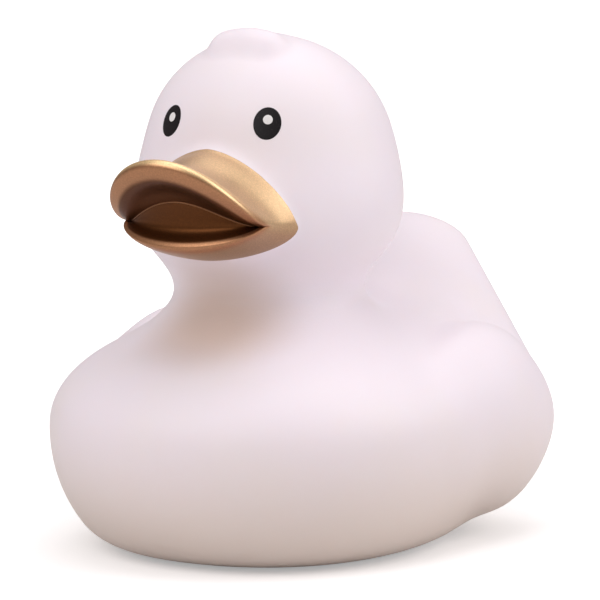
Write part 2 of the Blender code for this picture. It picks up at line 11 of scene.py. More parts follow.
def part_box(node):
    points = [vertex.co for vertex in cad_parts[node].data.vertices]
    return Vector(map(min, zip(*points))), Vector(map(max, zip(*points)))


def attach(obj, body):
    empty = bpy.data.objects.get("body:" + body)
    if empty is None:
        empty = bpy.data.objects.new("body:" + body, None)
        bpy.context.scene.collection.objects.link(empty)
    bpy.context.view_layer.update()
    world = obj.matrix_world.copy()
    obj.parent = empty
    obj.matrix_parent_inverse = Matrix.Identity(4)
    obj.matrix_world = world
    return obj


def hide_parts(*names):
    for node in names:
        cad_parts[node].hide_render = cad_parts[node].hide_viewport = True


bl_info = {
    "name": "Rubber Duck",
    "version": (1, 0, 0),
    "blender": (4, 5, 0),
    "location": "3D View > Sidebar > Duck",
    "description": "Builds a white vinyl bath duck with a gold beak and printed eyes",
    "category": "Add Mesh",
}

MM = 0.001
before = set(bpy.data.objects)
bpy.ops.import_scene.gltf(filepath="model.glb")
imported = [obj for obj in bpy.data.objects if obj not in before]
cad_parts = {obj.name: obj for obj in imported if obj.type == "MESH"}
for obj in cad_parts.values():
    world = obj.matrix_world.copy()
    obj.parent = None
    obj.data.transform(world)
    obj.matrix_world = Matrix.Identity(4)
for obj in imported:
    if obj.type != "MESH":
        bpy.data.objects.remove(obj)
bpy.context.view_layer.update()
SKIN_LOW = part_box("duck_body")[0]

# Meshes: faces around small round forms, and how fine or coarse the rest is
SHARP_ANGLE = math.radians(50.0)
ROUND_SEGMENTS = 96
EYE_SEGMENTS = 64
RIDGE_SIDES = 10
HOLLOW_COARSENESS = 4
WELD = 0.001 * MM
TINY = 1e-9

# Printed ink has steep edges, and the ridge in the mouth thins out over its end runs
INK_FLATNESS = 0.35
RIDGE_END = 0.3
RIDGE_RUN = 0.2

# Paint: where each tone of painted highlight and painted shade on the gold starts and is full, along the
# loft and from chin (-1) to bill (1)
RIM_HIGHLIGHT_STARTS = (2.5, 3.0)
LIP_SHADE_STARTS = (3.45, 3.9)
MOUTH_SHADE_STARTS = (4.65, 5.05)
# The ridge's place on the loft, which gives it painted shade between the lips' and the mouth's tones
RIDGE_SHADE_TONE = 4.87
# Painted shade: darker gold on the chin side, full gold on the bill side
CHIN_TO_BILL = (-0.35, 0.35)
RIM_SHINES = (0.1, 0.8)

# Surfaces: strength of the fine grain and of the wide unevenness, and what they tint
PATCHES_PER_METRE = 45.0
PATCH_SHARE = 3.0
WARM_PATCHES = (0.42, 0.72)
PLASTIC_PATCHES = (0.4, 0.8)
PLASTIC_SHADE = 0.85
SPECK_GRAIN = (0.66, 0.74)
FLAKE_GRAIN = (0.35, 0.75)
DARK_FLAKES = (0.88, 0.88, 0.88, 1.0)
BRIGHT_FLAKES = (1.12, 1.1, 1.06, 1.0)
SKIN_SPREAD = (1.0, 0.6, 0.5)
LAMPS = ("top", "front", "side")

# Rays that place the rings: fanned out low in the body, past the neck, and in the head
RAY_SAMPLES = 90
RAY_HALVINGS = 22
RAY_BATCH = 4000
MERIDIANS = 60
MERIDIAN_SAMPLES = 240
FAN_Z = 7.0 * MM
NECK_MARGIN = 2.2 * MM
NECK_AIM_RISE = 8.0 * MM
NECK_AIM_DROP = 17.5 * MM
BODY_SHARE = 0.5
NECK_SHARE = 0.15
HEAD_SHARE = 1.0 - BODY_SHARE - NECK_SHARE
CROWN_DENSITY = 1.6
NECK_DENSITY = 1.2

# What each section of the beak is described by
SECTION_VALUES = (
    "half_width",
    "corner_reach",
    "top_reach",
    "top_rise",
    "top_roundness",
    "chin_reach",
    "chin_fall",
    "chin_roundness",
)


def size(name, description, default):
    """A length that the sidebar shows in scene units."""
    return FloatProperty(
        name=name, description=description, default=default, unit="LENGTH", subtype="DISTANCE"
    )


def number(name, description, default):
    return FloatProperty(name=name, description=description, default=default)


def colour(name, description, default):
    return FloatVectorProperty(
        name=name, description=description, default=default, size=4, min=0.0, max=1.0, subtype="COLOR"
    )


def lamp_place(name, default):
    return FloatVectorProperty(
        name=name,
        description="Right, back and up from the origin, as the camera sees it",
        default=default,
        subtype="XYZ",
        unit="LENGTH",
    )


class DuckBodySizes(bpy.types.PropertyGroup):
    """Sizes of the body, tail, neck and wings, and of the squeaker's hole."""

    wall: size("Wall", "Thickness of the skin", 2.2 * MM)
    y: size("Middle", "Middle of the body along Y", -6.9 * MM)
    z: size("Height of the middle", "Height of the widest part", 21.1 * MM)
    half_width: size("Half width", "Half width of the body", 37.1 * MM)
    front: size("Breast", "From the middle to the breast", 43.3 * MM)
    back: size("Rear", "From the middle to the rear", 39.5 * MM)
    up: size("Back height", "From the widest part up", 18.8 * MM)
    down: size("Belly depth", "From the widest part down, before the base is flat", 30.9 * MM)
    plan_power: FloatProperty(name="Plan power", description="2 is an ellipse in plan", default=2.16)
    side_power: FloatProperty(name="Side power", description="2 is an ellipse", default=2.12)
    base_rounding: size("Base rounding", "Fillet around the flat base", 4.9 * MM)
    tail_root_y: size("Tail root", "Middle of the tail's thick end along Y", 17.7 * MM)
    tail_root_z: size("Tail root height", "Height of the tail's thick end", 20.1 * MM)
    tail_root_radius: size("Tail root radius", "Radius of the thick end", 20.3 * MM)
    tail_tip_y: size("Tail tip", "Middle of the tail's tip along Y", 39.0 * MM)
    tail_tip_z: size("Tail tip height", "Height of the tip's middle", 46.0 * MM)
    tail_tip_radius: size("Tail tip radius", "Radius of the tip", 7.2 * MM)
    tail_breadth: FloatProperty(name="Tail breadth", description="Width over height", default=1.94)
    tail_blend: size("Tail fillet", "Blend between tail and body", 9.5 * MM)
    neck_y: size("Neck", "Neck axis along Y", -11.9 * MM)
    neck_low_z: size("Neck foot", "Lower end of the neck", 34.0 * MM)
    neck_high_z: size("Neck top", "Upper end of the neck", 52.0 * MM)
    neck_radius: size("Neck radius", "Radius of the neck", 14.5 * MM)
    neck_blend: size("Neck fillet", "Blend between neck and body", 12.8 * MM)
    crease_z: size("Neck crease", "Height of the crease under the head", 45.0 * MM)
    crease_reach: size("Neck crease reach", "Half height of its closer rings", 7.0 * MM)
    wing_x: size("Wing tip offset", "Middle of the wing tip from the plane of symmetry", 29.1 * MM)
    wing_y: size("Wing tip middle", "Middle of the wing tip along Y", 11.3 * MM)
    wing_z: size("Wing tip height", "Height of the wing tip's middle", 20.6 * MM)
    wing_half_thickness: size("Wing thickness", "Half thickness of the wing tip", 11.0 * MM)
    wing_half_length: size("Wing length", "Half length of the wing tip", 13.7 * MM)
    wing_half_height: size("Wing height", "Half height of the wing tip", 16.6 * MM)
    wing_lift: FloatProperty(
        name="Wing lift", description="Slope of the wings", default=math.radians(12.6), unit="ROTATION"
    )
    pad_x: size("Wing pad offset", "Middle of the wing pad from the plane of symmetry", 29.5 * MM)
    pad_y: size("Wing pad middle", "Middle of the wing pad along Y", -3.0 * MM)
    pad_z: size("Wing pad height", "Height of the wing pad's middle", 21.5 * MM)
    pad_half_thickness: size("Pad thickness", "Half thickness of the pad", 8.6 * MM)
    pad_half_length: size("Pad length", "Half length of the pad", 17.0 * MM)
    pad_half_height: size("Pad height", "Half height of the pad", 13.0 * MM)
    pad_blend: size("Pad fillet", "Blend between pad and wing tip", 8.0 * MM)
    wing_blend: size("Wing fillet", "Blend between wing and body", 2.5 * MM)
    hole_y: size("Squeaker hole", "Middle of the squeaker's hole along Y", -6.0 * MM)
    hole_radius: size("Hole radius", "Radius of the squeaker's hole", 6.8 * MM)
    step_radius: size("Step radius", "Radius of the step for the flange", 8.5 * MM)
    step_height: size("Step height", "Depth of the step for the flange", 1.5 * MM)
    # Painted shadow and warm reflection of the gold on the vinyl below the beak
    beak_shadow_z: size("Throat", "Height of the middle of the warm tone below the beak", 38.0 * MM)
    beak_shadow_reach: size("Throat reach", "Radius where the throat's tone ends", 17.0 * MM)
    beak_shadow_core: size("Throat core", "Radius where the throat's tone is full", 3.0 * MM)
    # Painted shade and warm bounce light: the vinyl gets darker and warmer towards the base
    base_shade_top_z: size("Low tone top", "Height where the tone underneath ends", 30.0 * MM)
    base_shade_full_z: size("Low tone full", "Height where the tone underneath is full", 2.0 * MM)


class DuckHeadSizes(bpy.types.PropertyGroup):
    """Sizes of the head, cheeks, muzzle and feather tuft."""

    y: size("Head", "Middle of the head along Y", -11.4 * MM)
    z: size("Head height", "Height of the head's middle", 66.5 * MM)
    half_width: size("Half width", "Half width of the skull", 21.7 * MM)
    half_depth: size("Half depth", "Half depth of the skull", 19.75 * MM)
    half_height: size("Half height", "Half height of the skull", 20.9 * MM)
    skull_back: size("Skull back", "Skull behind the head's middle", 0.45 * MM)
    skull_lean: FloatProperty(
        name="Skull lean", description="How far the skull leans forward", default=0.55, unit="ROTATION"
    )
    cheek_forward: size("Cheek forward", "Cheeks forward of the head's middle", 0.7 * MM)
    cheek_drop: size("Cheek drop", "Cheeks below the head's middle", 8.7 * MM)
    cheek_half_width: size("Cheek half width", "Half width of the cheeks", 23.1 * MM)
    cheek_half_depth: size("Cheek half depth", "Half depth of the cheeks", 20.3 * MM)
    cheek_half_height: size("Cheek half height", "Half height of the cheeks", 15.2 * MM)
    cheek_blend: size("Cheek fillet", "Blend between skull and cheeks", 6.0 * MM)
    head_blend: size("Throat fillet", "Blend between head and neck", 5.0 * MM)
    muzzle_drop: size("Muzzle drop", "Muzzle below the head's middle", 7.6 * MM)
    muzzle_forward: size("Muzzle forward", "Muzzle in front of the head's middle", 12.4 * MM)
    muzzle_half_width: size("Muzzle half width", "Half width of the muzzle", 13.5 * MM)
    muzzle_half_depth: size("Muzzle half depth", "Half depth of the muzzle", 10.4 * MM)
    muzzle_half_height: size("Muzzle half height", "Half height of the muzzle", 9.4 * MM)
    muzzle_blend: size("Muzzle fillet", "Blend between head and muzzle", 4.0 * MM)
    tuft_forward: size("Tuft forward", "Front of the lobes before the head's middle", 7.0 * MM)
    tuft_back: size("Tuft back", "Where the lobes end behind the head's middle", 3.0 * MM)
    tuft_rise: size("Tuft rise", "Tuft above the head's middle", 17.8 * MM)
    tuft_spacing: size("Tuft spacing", "Distance between the fronts of the lobes", 3.3 * MM)
    tuft_side_drop: size("Tuft side drop", "How much lower the outer lobes lie", 0.45 * MM)
    tuft_radius: size("Lobe radius", "Radius of the front of a lobe", 3.9 * MM)
    tuft_tail_radius: size("Lobe tail radius", "Radius of the back of a lobe", 1.5 * MM)
    tuft_lobe_blend: size("Lobe fillet", "Blend between neighbouring lobes", 1.7 * MM)
    tuft_blend: size("Tuft fillet", "Blend between lobes and head", 1.6 * MM)


class DuckBeakSizes(bpy.types.PropertyGroup):
    """Sizes of the beak, measured from the face at the height of the mouth corners."""

    mouth_drop: size("Mouth drop", "Mouth corners below the head's middle", 9.7 * MM)
    root_half_width: size("Root half width", "Half width where the beak leaves the face", 15.1 * MM)
    root_rise: size("Root rise", "Top of the root above the mouth corners", 12.2 * MM)
    root_fall: size("Root fall", "Bottom of the root below the mouth corners", 6.8 * MM)
    root_drop: size("Root drop", "Widest part of the root below the mouth corners", 0.6 * MM)
    root_sink: size("Root sink", "How far the root is sunk into the face", 1.0 * MM)
    root_top_power: number("Root top power", "1 is a peak and 2 an ellipse", 1.65)
    root_chin_power: number("Root chin power", "1 is a peak and 2 an ellipse", 1.85)
    core_depth: size("Core depth", "How far the beak's core reaches into the head", 9.0 * MM)
    core_scale: number("Core scale", "Size of the core beside the root", 0.8)
    flank_half_width: size("Flank half width", "Half width half way out", 14.0 * MM)
    flank_corner_reach: size("Flank corner reach", "Reach beside the mouth corners", -0.6 * MM)
    flank_top_reach: size("Flank top reach", "Reach on top, half way out", 8.2 * MM)
    flank_top_rise: size("Flank top rise", "Rise on top, half way out", 9.3 * MM)
    flank_top_roundness: number("Flank top roundness", "Shape of the upper arch", 1.7)
    flank_chin_reach: size("Flank chin reach", "Reach below, half way out", 3.8 * MM)
    flank_chin_fall: size("Flank chin fall", "Fall below, half way out", 5.9 * MM)
    flank_chin_roundness: number("Flank chin roundness", "Shape of the lower arch", 1.1)
    flank_bow: number("Flank bow", "How soft the turn beside the mouth corners is", 1.4)
    rim_bulge: number("Rim bulge", "How much wider the upper rim is above the corners", 0.12)
    rim_half_width: size("Rim half width", "Half width of the flared rim", 13.3 * MM)
    rim_corner_reach: size("Rim corner reach", "Reach of the rim at the mouth corners", 3.2 * MM)
    rim_top_reach: size("Rim top reach", "Reach of the upper rim", 15.9 * MM)
    rim_top_rise: size("Rim top rise", "Rise of the upper rim", 11.2 * MM)
    rim_top_roundness: number("Rim top roundness", "Shape of the upper arch", 1.5)
    rim_chin_reach: size("Rim chin reach", "Reach of the lower rim", 9.4 * MM)
    rim_chin_fall: size("Rim chin fall", "Fall of the lower rim", 4.3 * MM)
    rim_chin_roundness: number("Rim chin roundness", "Shape of the lower arch", 1.3)
    bead_half_width: size("Bead half width", "Half width of the front of the rounded rim", 13.1 * MM)
    bead_corner_reach: size("Bead corner reach", "Reach of the bead at the corners", 3.6 * MM)
    bead_top_reach: size("Bead top reach", "Reach of the upper bead", 17.1 * MM)
    bead_top_rise: size("Bead top rise", "Rise of the upper bead", 9.9 * MM)
    bead_top_roundness: number("Bead top roundness", "Shape of the upper arch", 1.5)
    bead_chin_reach: size("Bead chin reach", "Reach of the lower bead", 10.0 * MM)
    bead_chin_fall: size("Bead chin fall", "Fall of the lower bead", 3.5 * MM)
    bead_chin_roundness: number("Bead chin roundness", "Shape of the lower arch", 1.25)
    lip_half_width: size("Lip half width", "Half width of the lip's inner edge", 12.2 * MM)
    lip_corner_reach: size("Lip corner reach", "Reach of that edge at the corners", 3.9 * MM)
    lip_top_reach: size("Lip top reach", "Reach of the upper inner edge", 15.6 * MM)
    lip_top_rise: size("Lip top rise", "Rise of the upper inner edge", 7.5 * MM)
    lip_top_roundness: number("Lip top roundness", "Shape of the upper arch", 1.6)
    lip_chin_reach: size("Lip chin reach", "Reach of the lower inner edge", 9.6 * MM)
    lip_chin_fall: size("Lip chin fall", "Fall of the lower inner edge", 2.6 * MM)
    lip_chin_roundness: number("Lip chin roundness", "Shape of the lower arch", 1.2)
    hollow_half_width: size("Hollow half width", "Half width of the mouth's hollow", 11.8 * MM)
    hollow_corner_reach: size("Hollow corner reach", "Reach of the hollow at the corners", 3.7 * MM)
    hollow_top_reach: size("Hollow top reach", "Reach of the hollow's upper half", 12.0 * MM)
    hollow_top_rise: size("Hollow top rise", "Rise of the hollow's upper half", 5.8 * MM)
    hollow_top_roundness: number("Hollow top roundness", "Shape of the upper arch", 2.2)
    hollow_chin_reach: size("Hollow chin reach", "Reach of the hollow's lower half", 7.8 * MM)
    hollow_chin_fall: size("Hollow chin fall", "Fall of the hollow's lower half", 0.4 * MM)
    hollow_chin_roundness: number("Hollow chin roundness", "Shape of the lower arch", 3.0)
    mouth_half_width: size("Mouth half width", "Half width of the line between the lips", 11.7 * MM)
    mouth_corner_reach: size("Mouth corner reach", "Reach of the line at the corners", 3.8 * MM)
    mouth_line_reach: size("Mouth line reach", "Reach of the line in the middle", 9.8 * MM)
    mouth_line_rise: size("Mouth line rise", "Rise of the line in the middle", 3.9 * MM)
    mouth_roundness: number("Mouth roundness", "Shape of the line seen from the front", 3.0)
    mouth_bow: number("Mouth bow", "Shape of the line seen from above", 1.5)
    ridge_radius: size("Ridge radius", "Radius of the fine ridge along the line", 0.16 * MM)
    seam_reach: size("Seam fillet", "How far the fillet round the root reaches", 1.8 * MM)
    paint_inset: size("Paint inset", "How far the paint stays within the root", 0.35 * MM)
    paint_margin: size("Paint margin", "Skin around the root that the paint is cut from", 2.5 * MM)
    paint_lift: size("Paint height", "How far the paint stands proud", 0.03 * MM)
    paint_thickness: size("Paint thickness", "Thickness, with its back in the skin", 0.04 * MM)


class DuckPrintSizes(bpy.types.PropertyGroup):
    """Sizes of the printed eyes."""

    x: size("Eye offset", "Middle of an eye from the plane of symmetry", 9.1 * MM)
    rise: size("Eye rise", "Eyes above the head's middle", 6.4 * MM)
    half_width: size("Eye half width", "Half width of the black oval", 2.3 * MM)
    half_height: size("Eye half height", "Half height of the black oval", 2.75 * MM)
    thickness: size("Print thickness", "How far the ink stands proud", 0.06 * MM)
    lean: FloatProperty(
        name="Lean", description="How far both eyes lean to the duck's left", default=0.14, unit="ROTATION"
    )
    dot_radius: size("Dot radius", "Radius of the white dot", 0.83 * MM)
    dot_thickness: size("Dot thickness", "How far the dot's ink stands proud", 0.09 * MM)
    dot_rise: size("Dot rise", "White dot above the oval's middle", 0.62 * MM)


class DuckColours(bpy.types.PropertyGroup):
    """Colours of the finishes, in linear light, among them tones of painted shade, painted shadow and
    painted highlight.
    """

    vinyl: colour("Vinyl", "Soft white vinyl", (0.87, 0.79, 0.86, 1.0))
    vinyl_warm: colour("Vinyl, warm patches", "Slightly yellowed vinyl", (0.87, 0.79, 0.83, 1.0))
    # Painted shadow and warm reflection of the gold on the vinyl below the beak
    vinyl_beak_shadow: colour("Vinyl, throat", "Warmer tone below the beak", (0.70, 0.56, 0.50, 1.0))
    # Painted shade and warm bounce light towards the base
    vinyl_base_shade: colour("Vinyl, underneath", "Warmer tone near the base", (0.72, 0.62, 0.56, 1.0))
    gold: colour("Gold", "Paint on the outside of the beak", (0.67, 0.46, 0.27, 1.0))
    # Painted shade on the underside of the beak
    gold_under_shade: colour("Gold, below", "Darker paint under the beak", (0.42, 0.26, 0.15, 1.0))
    # Painted highlight on the flared rim
    rim: colour("Rim", "Paint on the flared rim", (0.95, 0.68, 0.38, 1.0))
    # Painted shade on the lips' faces, which face forward and down
    lip_shade: colour("Copper", "Paint on the lips", (0.42, 0.21, 0.11, 1.0))
    # Painted shade in the mouth's recess between the lips
    mouth: colour("Mouth", "Paint between the lips", (0.105, 0.035, 0.009, 1.0))
    ink: colour("Ink", "Black of the eyes", (0.008, 0.006, 0.008, 1.0))
    ink_speck: colour("Ink specks", "Where the black ink is thin", (0.09, 0.06, 0.06, 1.0))
    dot: colour("Dot", "White of the eyes", (0.78, 0.76, 0.77, 1.0))
    dot_speck: colour("Dot specks", "Where the white ink is thin", (0.62, 0.58, 0.58, 1.0))
    plastic: colour("Squeaker plastic", "Moulded off-white plastic", (0.70, 0.68, 0.63, 1.0))
    reed: colour("Reed film", "Thin grey plastic", (0.55, 0.57, 0.57, 1.0))


class DuckFineness(bpy.types.PropertyGroup):
    """Number of faces of the smooth pieces."""

    segments: IntProperty(name="Segments", description="Columns around the skin", default=300)
    rings: IntProperty(name="Rings", description="Rings from the base to the crown", default=210)
    beak_columns: IntProperty(name="Beak columns", description="Columns around the beak", default=160)
    beak_steps: IntProperty(name="Beak steps", description="Rings between beak sections", default=12)
    rounding_passes: IntProperty(name="Ridge rounding", description="Passes over the rings", default=14)
    corner_passes: IntProperty(name="Corner rounding", description="Passes over the columns", default=40)
    seam_passes: IntProperty(name="Seam passes", description="Passes that smooth the root", default=24)


class DuckStageSettings(bpy.types.PropertyGroup):
    """Camera, lamps and floor."""

    azimuth: FloatProperty(
        name="Azimuth", description="Camera direction", default=math.radians(29.0), unit="ROTATION"
    )
    distance: size("Distance", "Level distance from the camera to the head's axis", 500.0 * MM)
    camera_z: size("Camera height", "Height of the camera above the floor", 98.9 * MM)
    lens: FloatProperty(name="Lens", description="Focal length in millimetres", default=176.8)
    aim: FloatVectorProperty(
        name="Aim",
        description="Point in the middle of the picture",
        default=(4.6 * MM, -6.8 * MM, 41.7 * MM),
        subtype="XYZ",
    )
    floor: colour("Floor", "Colour of the floor", (0.86, 0.85, 0.86, 1.0))
    floor_half: size("Floor", "Half size of the floor", 40000.0 * MM)
    near: size("Near floor", "Radius of the floor that shows the shadow", 90.0 * MM)
    far: size("Far floor", "Radius from where the floor is plain white", 400.0 * MM)
    near_glow: number("Near glow", "Brightness that the camera adds near the duck", 0.35)
    lamp_colour: FloatVectorProperty(
        name="Lamp colour", description="Tint of the lamps", default=(0.99, 0.99, 1.0), subtype="COLOR"
    )
    sky_colour: colour("Sky", "Tint of the even light", (1.0, 0.92, 0.86, 1.0))
    top_place: lamp_place("Top lamp", (0.05, 0.05, 0.60))
    top_size: size("Top lamp size", "Side of the square lamp", 0.6)
    top_power: FloatProperty(name="Top lamp", description="Power in watts", default=1.7)
    front_place: lamp_place("Front lamp", (-0.35, -0.40, 0.45))
    front_size: size("Front lamp size", "Side of the square lamp", 0.5)
    front_power: FloatProperty(name="Front lamp", description="Power in watts", default=1.95)
    side_place: lamp_place("Side lamp", (0.55, -0.10, 0.35))
    side_size: size("Side lamp size", "Side of the square lamp", 0.5)
    side_power: FloatProperty(name="Side lamp", description="Power in watts", default=1.65)
    sky: FloatProperty(name="Sky", description="Strength of the even light", default=0.33)


# Smooth solids: each returns a length that is negative inside


def join(first, second, blend):
    """Union of two solids with a fillet of about the blend length."""
    overlap = np.maximum(blend - np.abs(first - second), 0.0) / blend
    return np.minimum(first, second) - overlap * overlap * blend / 4


def common(first, second, blend):
    """Intersection of two solids with a rounded edge."""
    return -join(-first, -second, blend)


def ellipsoid(points, centre, radii, lift=0.0):
    """Ellipsoid whose long axis is raised towards +Y by the lift angle."""
    away = points - np.array(centre)
    along = away[:, 1] * math.cos(lift) + away[:, 2] * math.sin(lift)
    above = away[:, 2] * math.cos(lift) - away[:, 1] * math.sin(lift)
    local = np.stack([away[:, 0], along, above], axis=1)
    radii = np.array(radii)
    scaled = np.linalg.norm(local / radii, axis=1)
    slope = np.linalg.norm(local / radii ** 2, axis=1)
    return scaled * (scaled - 1.0) / np.maximum(slope, TINY)


def taper(points, start, end, start_radius, end_radius):
    """Cone with a ball at each end."""
    start = np.array(start)
    axis = np.array(end) - start
    length = np.linalg.norm(axis)
    axis = axis / length
    away = points - start
    along = away @ axis
    across = np.linalg.norm(away - along[:, None] * axis, axis=1)
    sine = (start_radius - end_radius) / length
    cosine = math.sqrt(1.0 - sine * sine)
    foot = np.clip(along - across * sine / cosine, 0.0, length)
    return np.hypot(across, along - foot) - (start_radius - sine * foot)


def egg(points, body):
    """The body: an oval in plan, rounder in front, fuller than an ellipse."""
    x = np.abs(points[:, 0]) / body.half_width
    y = points[:, 1] - body.y
    z = points[:, 2] - body.z
    y = np.where(y < 0, -y / body.front, y / body.back)
    z = np.where(z > 0, z / body.up, -z / body.down)
    plan = (x ** body.plan_power + y ** body.plan_power) ** (1 / body.plan_power)
    scaled = (plan ** body.side_power + z ** body.side_power) ** (1 / body.side_power)
    reach = np.linalg.norm(points - np.array([0.0, body.y, body.z]), axis=1)
    return (scaled - 1.0) * reach / np.maximum(scaled, TINY)


def tail(points, body):
    narrow = points * np.array([1 / body.tail_breadth, 1.0, 1.0])
    root = (0.0, body.tail_root_y, body.tail_root_z)
    tip = (0.0, body.tail_tip_y, body.tail_tip_z)
    return taper(narrow, root, tip, body.tail_root_radius, body.tail_tip_radius)


def wing(points, body):
    tip = ellipsoid(
        points,
        (body.wing_x, body.wing_y, body.wing_z),
        (body.wing_half_thickness, body.wing_half_length, body.wing_half_height),
        body.wing_lift,
    )
    pad = ellipsoid(
        points,
        (body.pad_x, body.pad_y, body.pad_z),
        (body.pad_half_thickness, body.pad_half_length, body.pad_half_height),
        body.wing_lift,
    )
    return join(tip, pad, body.pad_blend)


def head(points):
    face = bpy.context.scene.duck_head
    skull = ellipsoid(
        points,
        (0.0, face.y + face.skull_back, face.z),
        (face.half_width, face.half_depth, face.half_height),
        face.skull_lean,
    )
    cheeks = ellipsoid(
        points,
        (0.0, face.y - face.cheek_forward, face.z - face.cheek_drop),
        (face.cheek_half_width, face.cheek_half_depth, face.cheek_half_height),
    )
    return join(skull, cheeks, face.cheek_blend)


def muzzle(points, face):
    return ellipsoid(
        points,
        (0.0, face.y - face.muzzle_forward, face.z - face.muzzle_drop),
        (face.muzzle_half_width, face.muzzle_half_depth, face.muzzle_half_height),
    )


def tuft(points, face):
    """Three lobes side by side, blunt in front and running out to the back."""
    lobes = None
    for place in (-1, 0, 1):
        front_z = face.z + face.tuft_rise - abs(place) * face.tuft_side_drop
        front = (place * face.tuft_spacing, face.y - face.tuft_forward, front_z)
        back = (place * face.tuft_spacing / 2, face.y + face.tuft_back, front_z)
        lobe = taper(points, front, back, face.tuft_radius, face.tuft_tail_radius)
        lobes = lobe if lobes is None else join(lobes, lobe, face.tuft_lobe_blend)
    return lobes


def duck(points):
    """The whole outer form without the beak, symmetric about x = 0."""
    body = bpy.context.scene.duck_body
    face = bpy.context.scene.duck_head
    mirrored = points.copy()
    mirrored[:, 0] = np.abs(mirrored[:, 0])
    neck_low = (0.0, body.neck_y, body.neck_low_z)
    neck_high = (0.0, body.neck_y, body.neck_high_z)
    neck = taper(mirrored, neck_low, neck_high, body.neck_radius, body.neck_radius)
    form = join(egg(mirrored, body), tail(mirrored, body), body.tail_blend)
    form = join(form, neck, body.neck_blend)
    form = join(form, wing(mirrored, body), body.wing_blend)
    form = common(form, -mirrored[:, 2], body.base_rounding)
    form = join(form, head(mirrored), face.head_blend)
    form = join(form, muzzle(mirrored, face), face.muzzle_blend)
    return join(form, tuft(points, face), face.tuft_blend)


def air_space(points):
    """The hollow inside: one wall thickness within the outer form."""
    return duck(points) + bpy.context.scene.duck_body.wall


# Rays from inside the duck out to its surface


def first_exit(form, starts, directions):
    """Where each ray that starts inside the form first leaves it."""
    body = bpy.context.scene.duck_body
    steps = np.linspace(0.0, body.front + body.back, RAY_SAMPLES)
    exits = []
    for first in range(0, len(starts), RAY_BATCH):
        start = starts[first:first + RAY_BATCH]
        direction = directions[first:first + RAY_BATCH]
        places = start[:, None, :] + direction[:, None, :] * steps[None, :, None]
        outside = form(places.reshape(-1, 3)).reshape(len(start), -1) > 0
        crossing = np.maximum(outside.argmax(axis=1), 1)
        near = steps[crossing - 1]
        far = steps[crossing]
        for _ in range(RAY_HALVINGS):
            middle = (near + far) / 2
            inside = form(start + direction * middle[:, None]) < 0
            near = np.where(inside, middle, near)
            far = np.where(inside, far, middle)
        exits.append(start + direction * ((near + far) / 2)[:, None])
    return np.concatenate(exits)


def spine_ray(height, azimuth):
    """Start and direction of the ray for a height from 0, underneath, to 1, the crown.

    Rays fan out from a point low in the body, aim at the neck from below, level and above
    while their start climbs to the middle of the head, and fan out again from there.
    """
    body = bpy.context.scene.duck_body
    face = bpy.context.scene.duck_head
    low = np.array([0.0, body.neck_y, FAN_Z])
    high = np.array([0.0, face.y, face.z])
    along_neck = np.clip((height - BODY_SHARE) / NECK_SHARE, 0.0, 1.0)
    start = low + (high - low) * along_neck[:, None]
    aim_low = body.neck_low_z + NECK_AIM_RISE
    aim_high = face.z - NECK_AIM_DROP
    aim_z = aim_low + (aim_high - aim_low) * along_neck
    rise_to_neck = np.arctan2(aim_z - start[:, 2], body.neck_radius + NECK_MARGIN)
    below_neck = np.clip(height / BODY_SHARE, 0.0, 1.0)
    above_neck = np.clip((height - BODY_SHARE - NECK_SHARE) / HEAD_SHARE, 0.0, 1.0)
    straight_up = math.pi / 2
    rise = (rise_to_neck + straight_up) * below_neck - straight_up
    rise = rise + (straight_up - rise) * above_neck
    level = np.cos(rise)
    direction = np.stack([level * np.cos(azimuth), level * np.sin(azimuth), np.sin(rise)], axis=1)
    return start, direction


def even_heights(form, azimuth, rings):
    """Heights along one meridian that give rings at even distances, closer at neck and crown."""
    body = bpy.context.scene.duck_body
    face = bpy.context.scene.duck_head
    samples = np.linspace(0.0, 1.0, MERIDIAN_SAMPLES)
    starts, directions = spine_ray(samples, np.full(MERIDIAN_SAMPLES, azimuth))
    line = first_exit(form, starts, directions)
    lengths = np.linalg.norm(np.diff(line, axis=0), axis=1)
    on_crown = np.clip((line[1:, 2] - face.z) / face.half_height, 0.0, 1.0)
    at_neck = np.exp(-(((line[1:, 2] - body.crease_z) / body.crease_reach) ** 2))
    lengths = lengths * (1.0 + CROWN_DENSITY * on_crown + NECK_DENSITY * at_neck)
    walked = np.concatenate([[0.0], np.cumsum(lengths)])
    return np.interp(np.linspace(0.0, walked[-1], rings + 1), walked, samples)


def move_onto(mesh, form, segments, rings):
    """Move the vertices of a sphere primitive out onto the surface of a form."""
    unit = np.array([vertex.co[:] for vertex in mesh.verts])
    ring = np.rint(np.arccos(np.clip(-unit[:, 2], -1.0, 1.0)) / math.pi * rings).astype(int)
    azimuth = np.arctan2(unit[:, 1], unit[:, 0]) % (2 * math.pi)
    measured = np.arange(MERIDIANS) * 2 * math.pi / MERIDIANS
    heights = np.array([even_heights(form, turn, rings) for turn in measured])
    turn = azimuth / (2 * math.pi) * MERIDIANS
    before = np.floor(turn).astype(int) % MERIDIANS
    after = (before + 1) % MERIDIANS
    part = turn - np.floor(turn)
    height = heights[before, ring] * (1 - part) + heights[after, ring] * part
    starts, directions = spine_ray(height, azimuth)
    places = first_exit(form, starts, directions)
    for vertex, place in zip(mesh.verts, places):
        vertex.co = place


# Beak, a loft from its root in the face over the rim to the line between the lips


def half_ring(columns, half_width, corner_reach, reach, rise, roundness, bow=1.0, bulge=0.0):
    """Half of a beak section: an arch from one mouth corner over the middle to the other.

    A greater roundness keeps the arch low beside the corners, and a greater bow keeps it
    back there. A bulge makes the arch wider above the corners than between them.
    """
    turns = np.linspace(-math.pi / 2, math.pi / 2, columns // 2 + 1)
    level = np.clip(np.cos(turns), 0.0, 1.0)
    x = half_width * np.sin(turns) * (1.0 + bulge * level)
    forward = corner_reach + (reach - corner_reach) * level ** bow
    z = rise * level ** roundness
    return np.stack([x, -forward, z], axis=1)


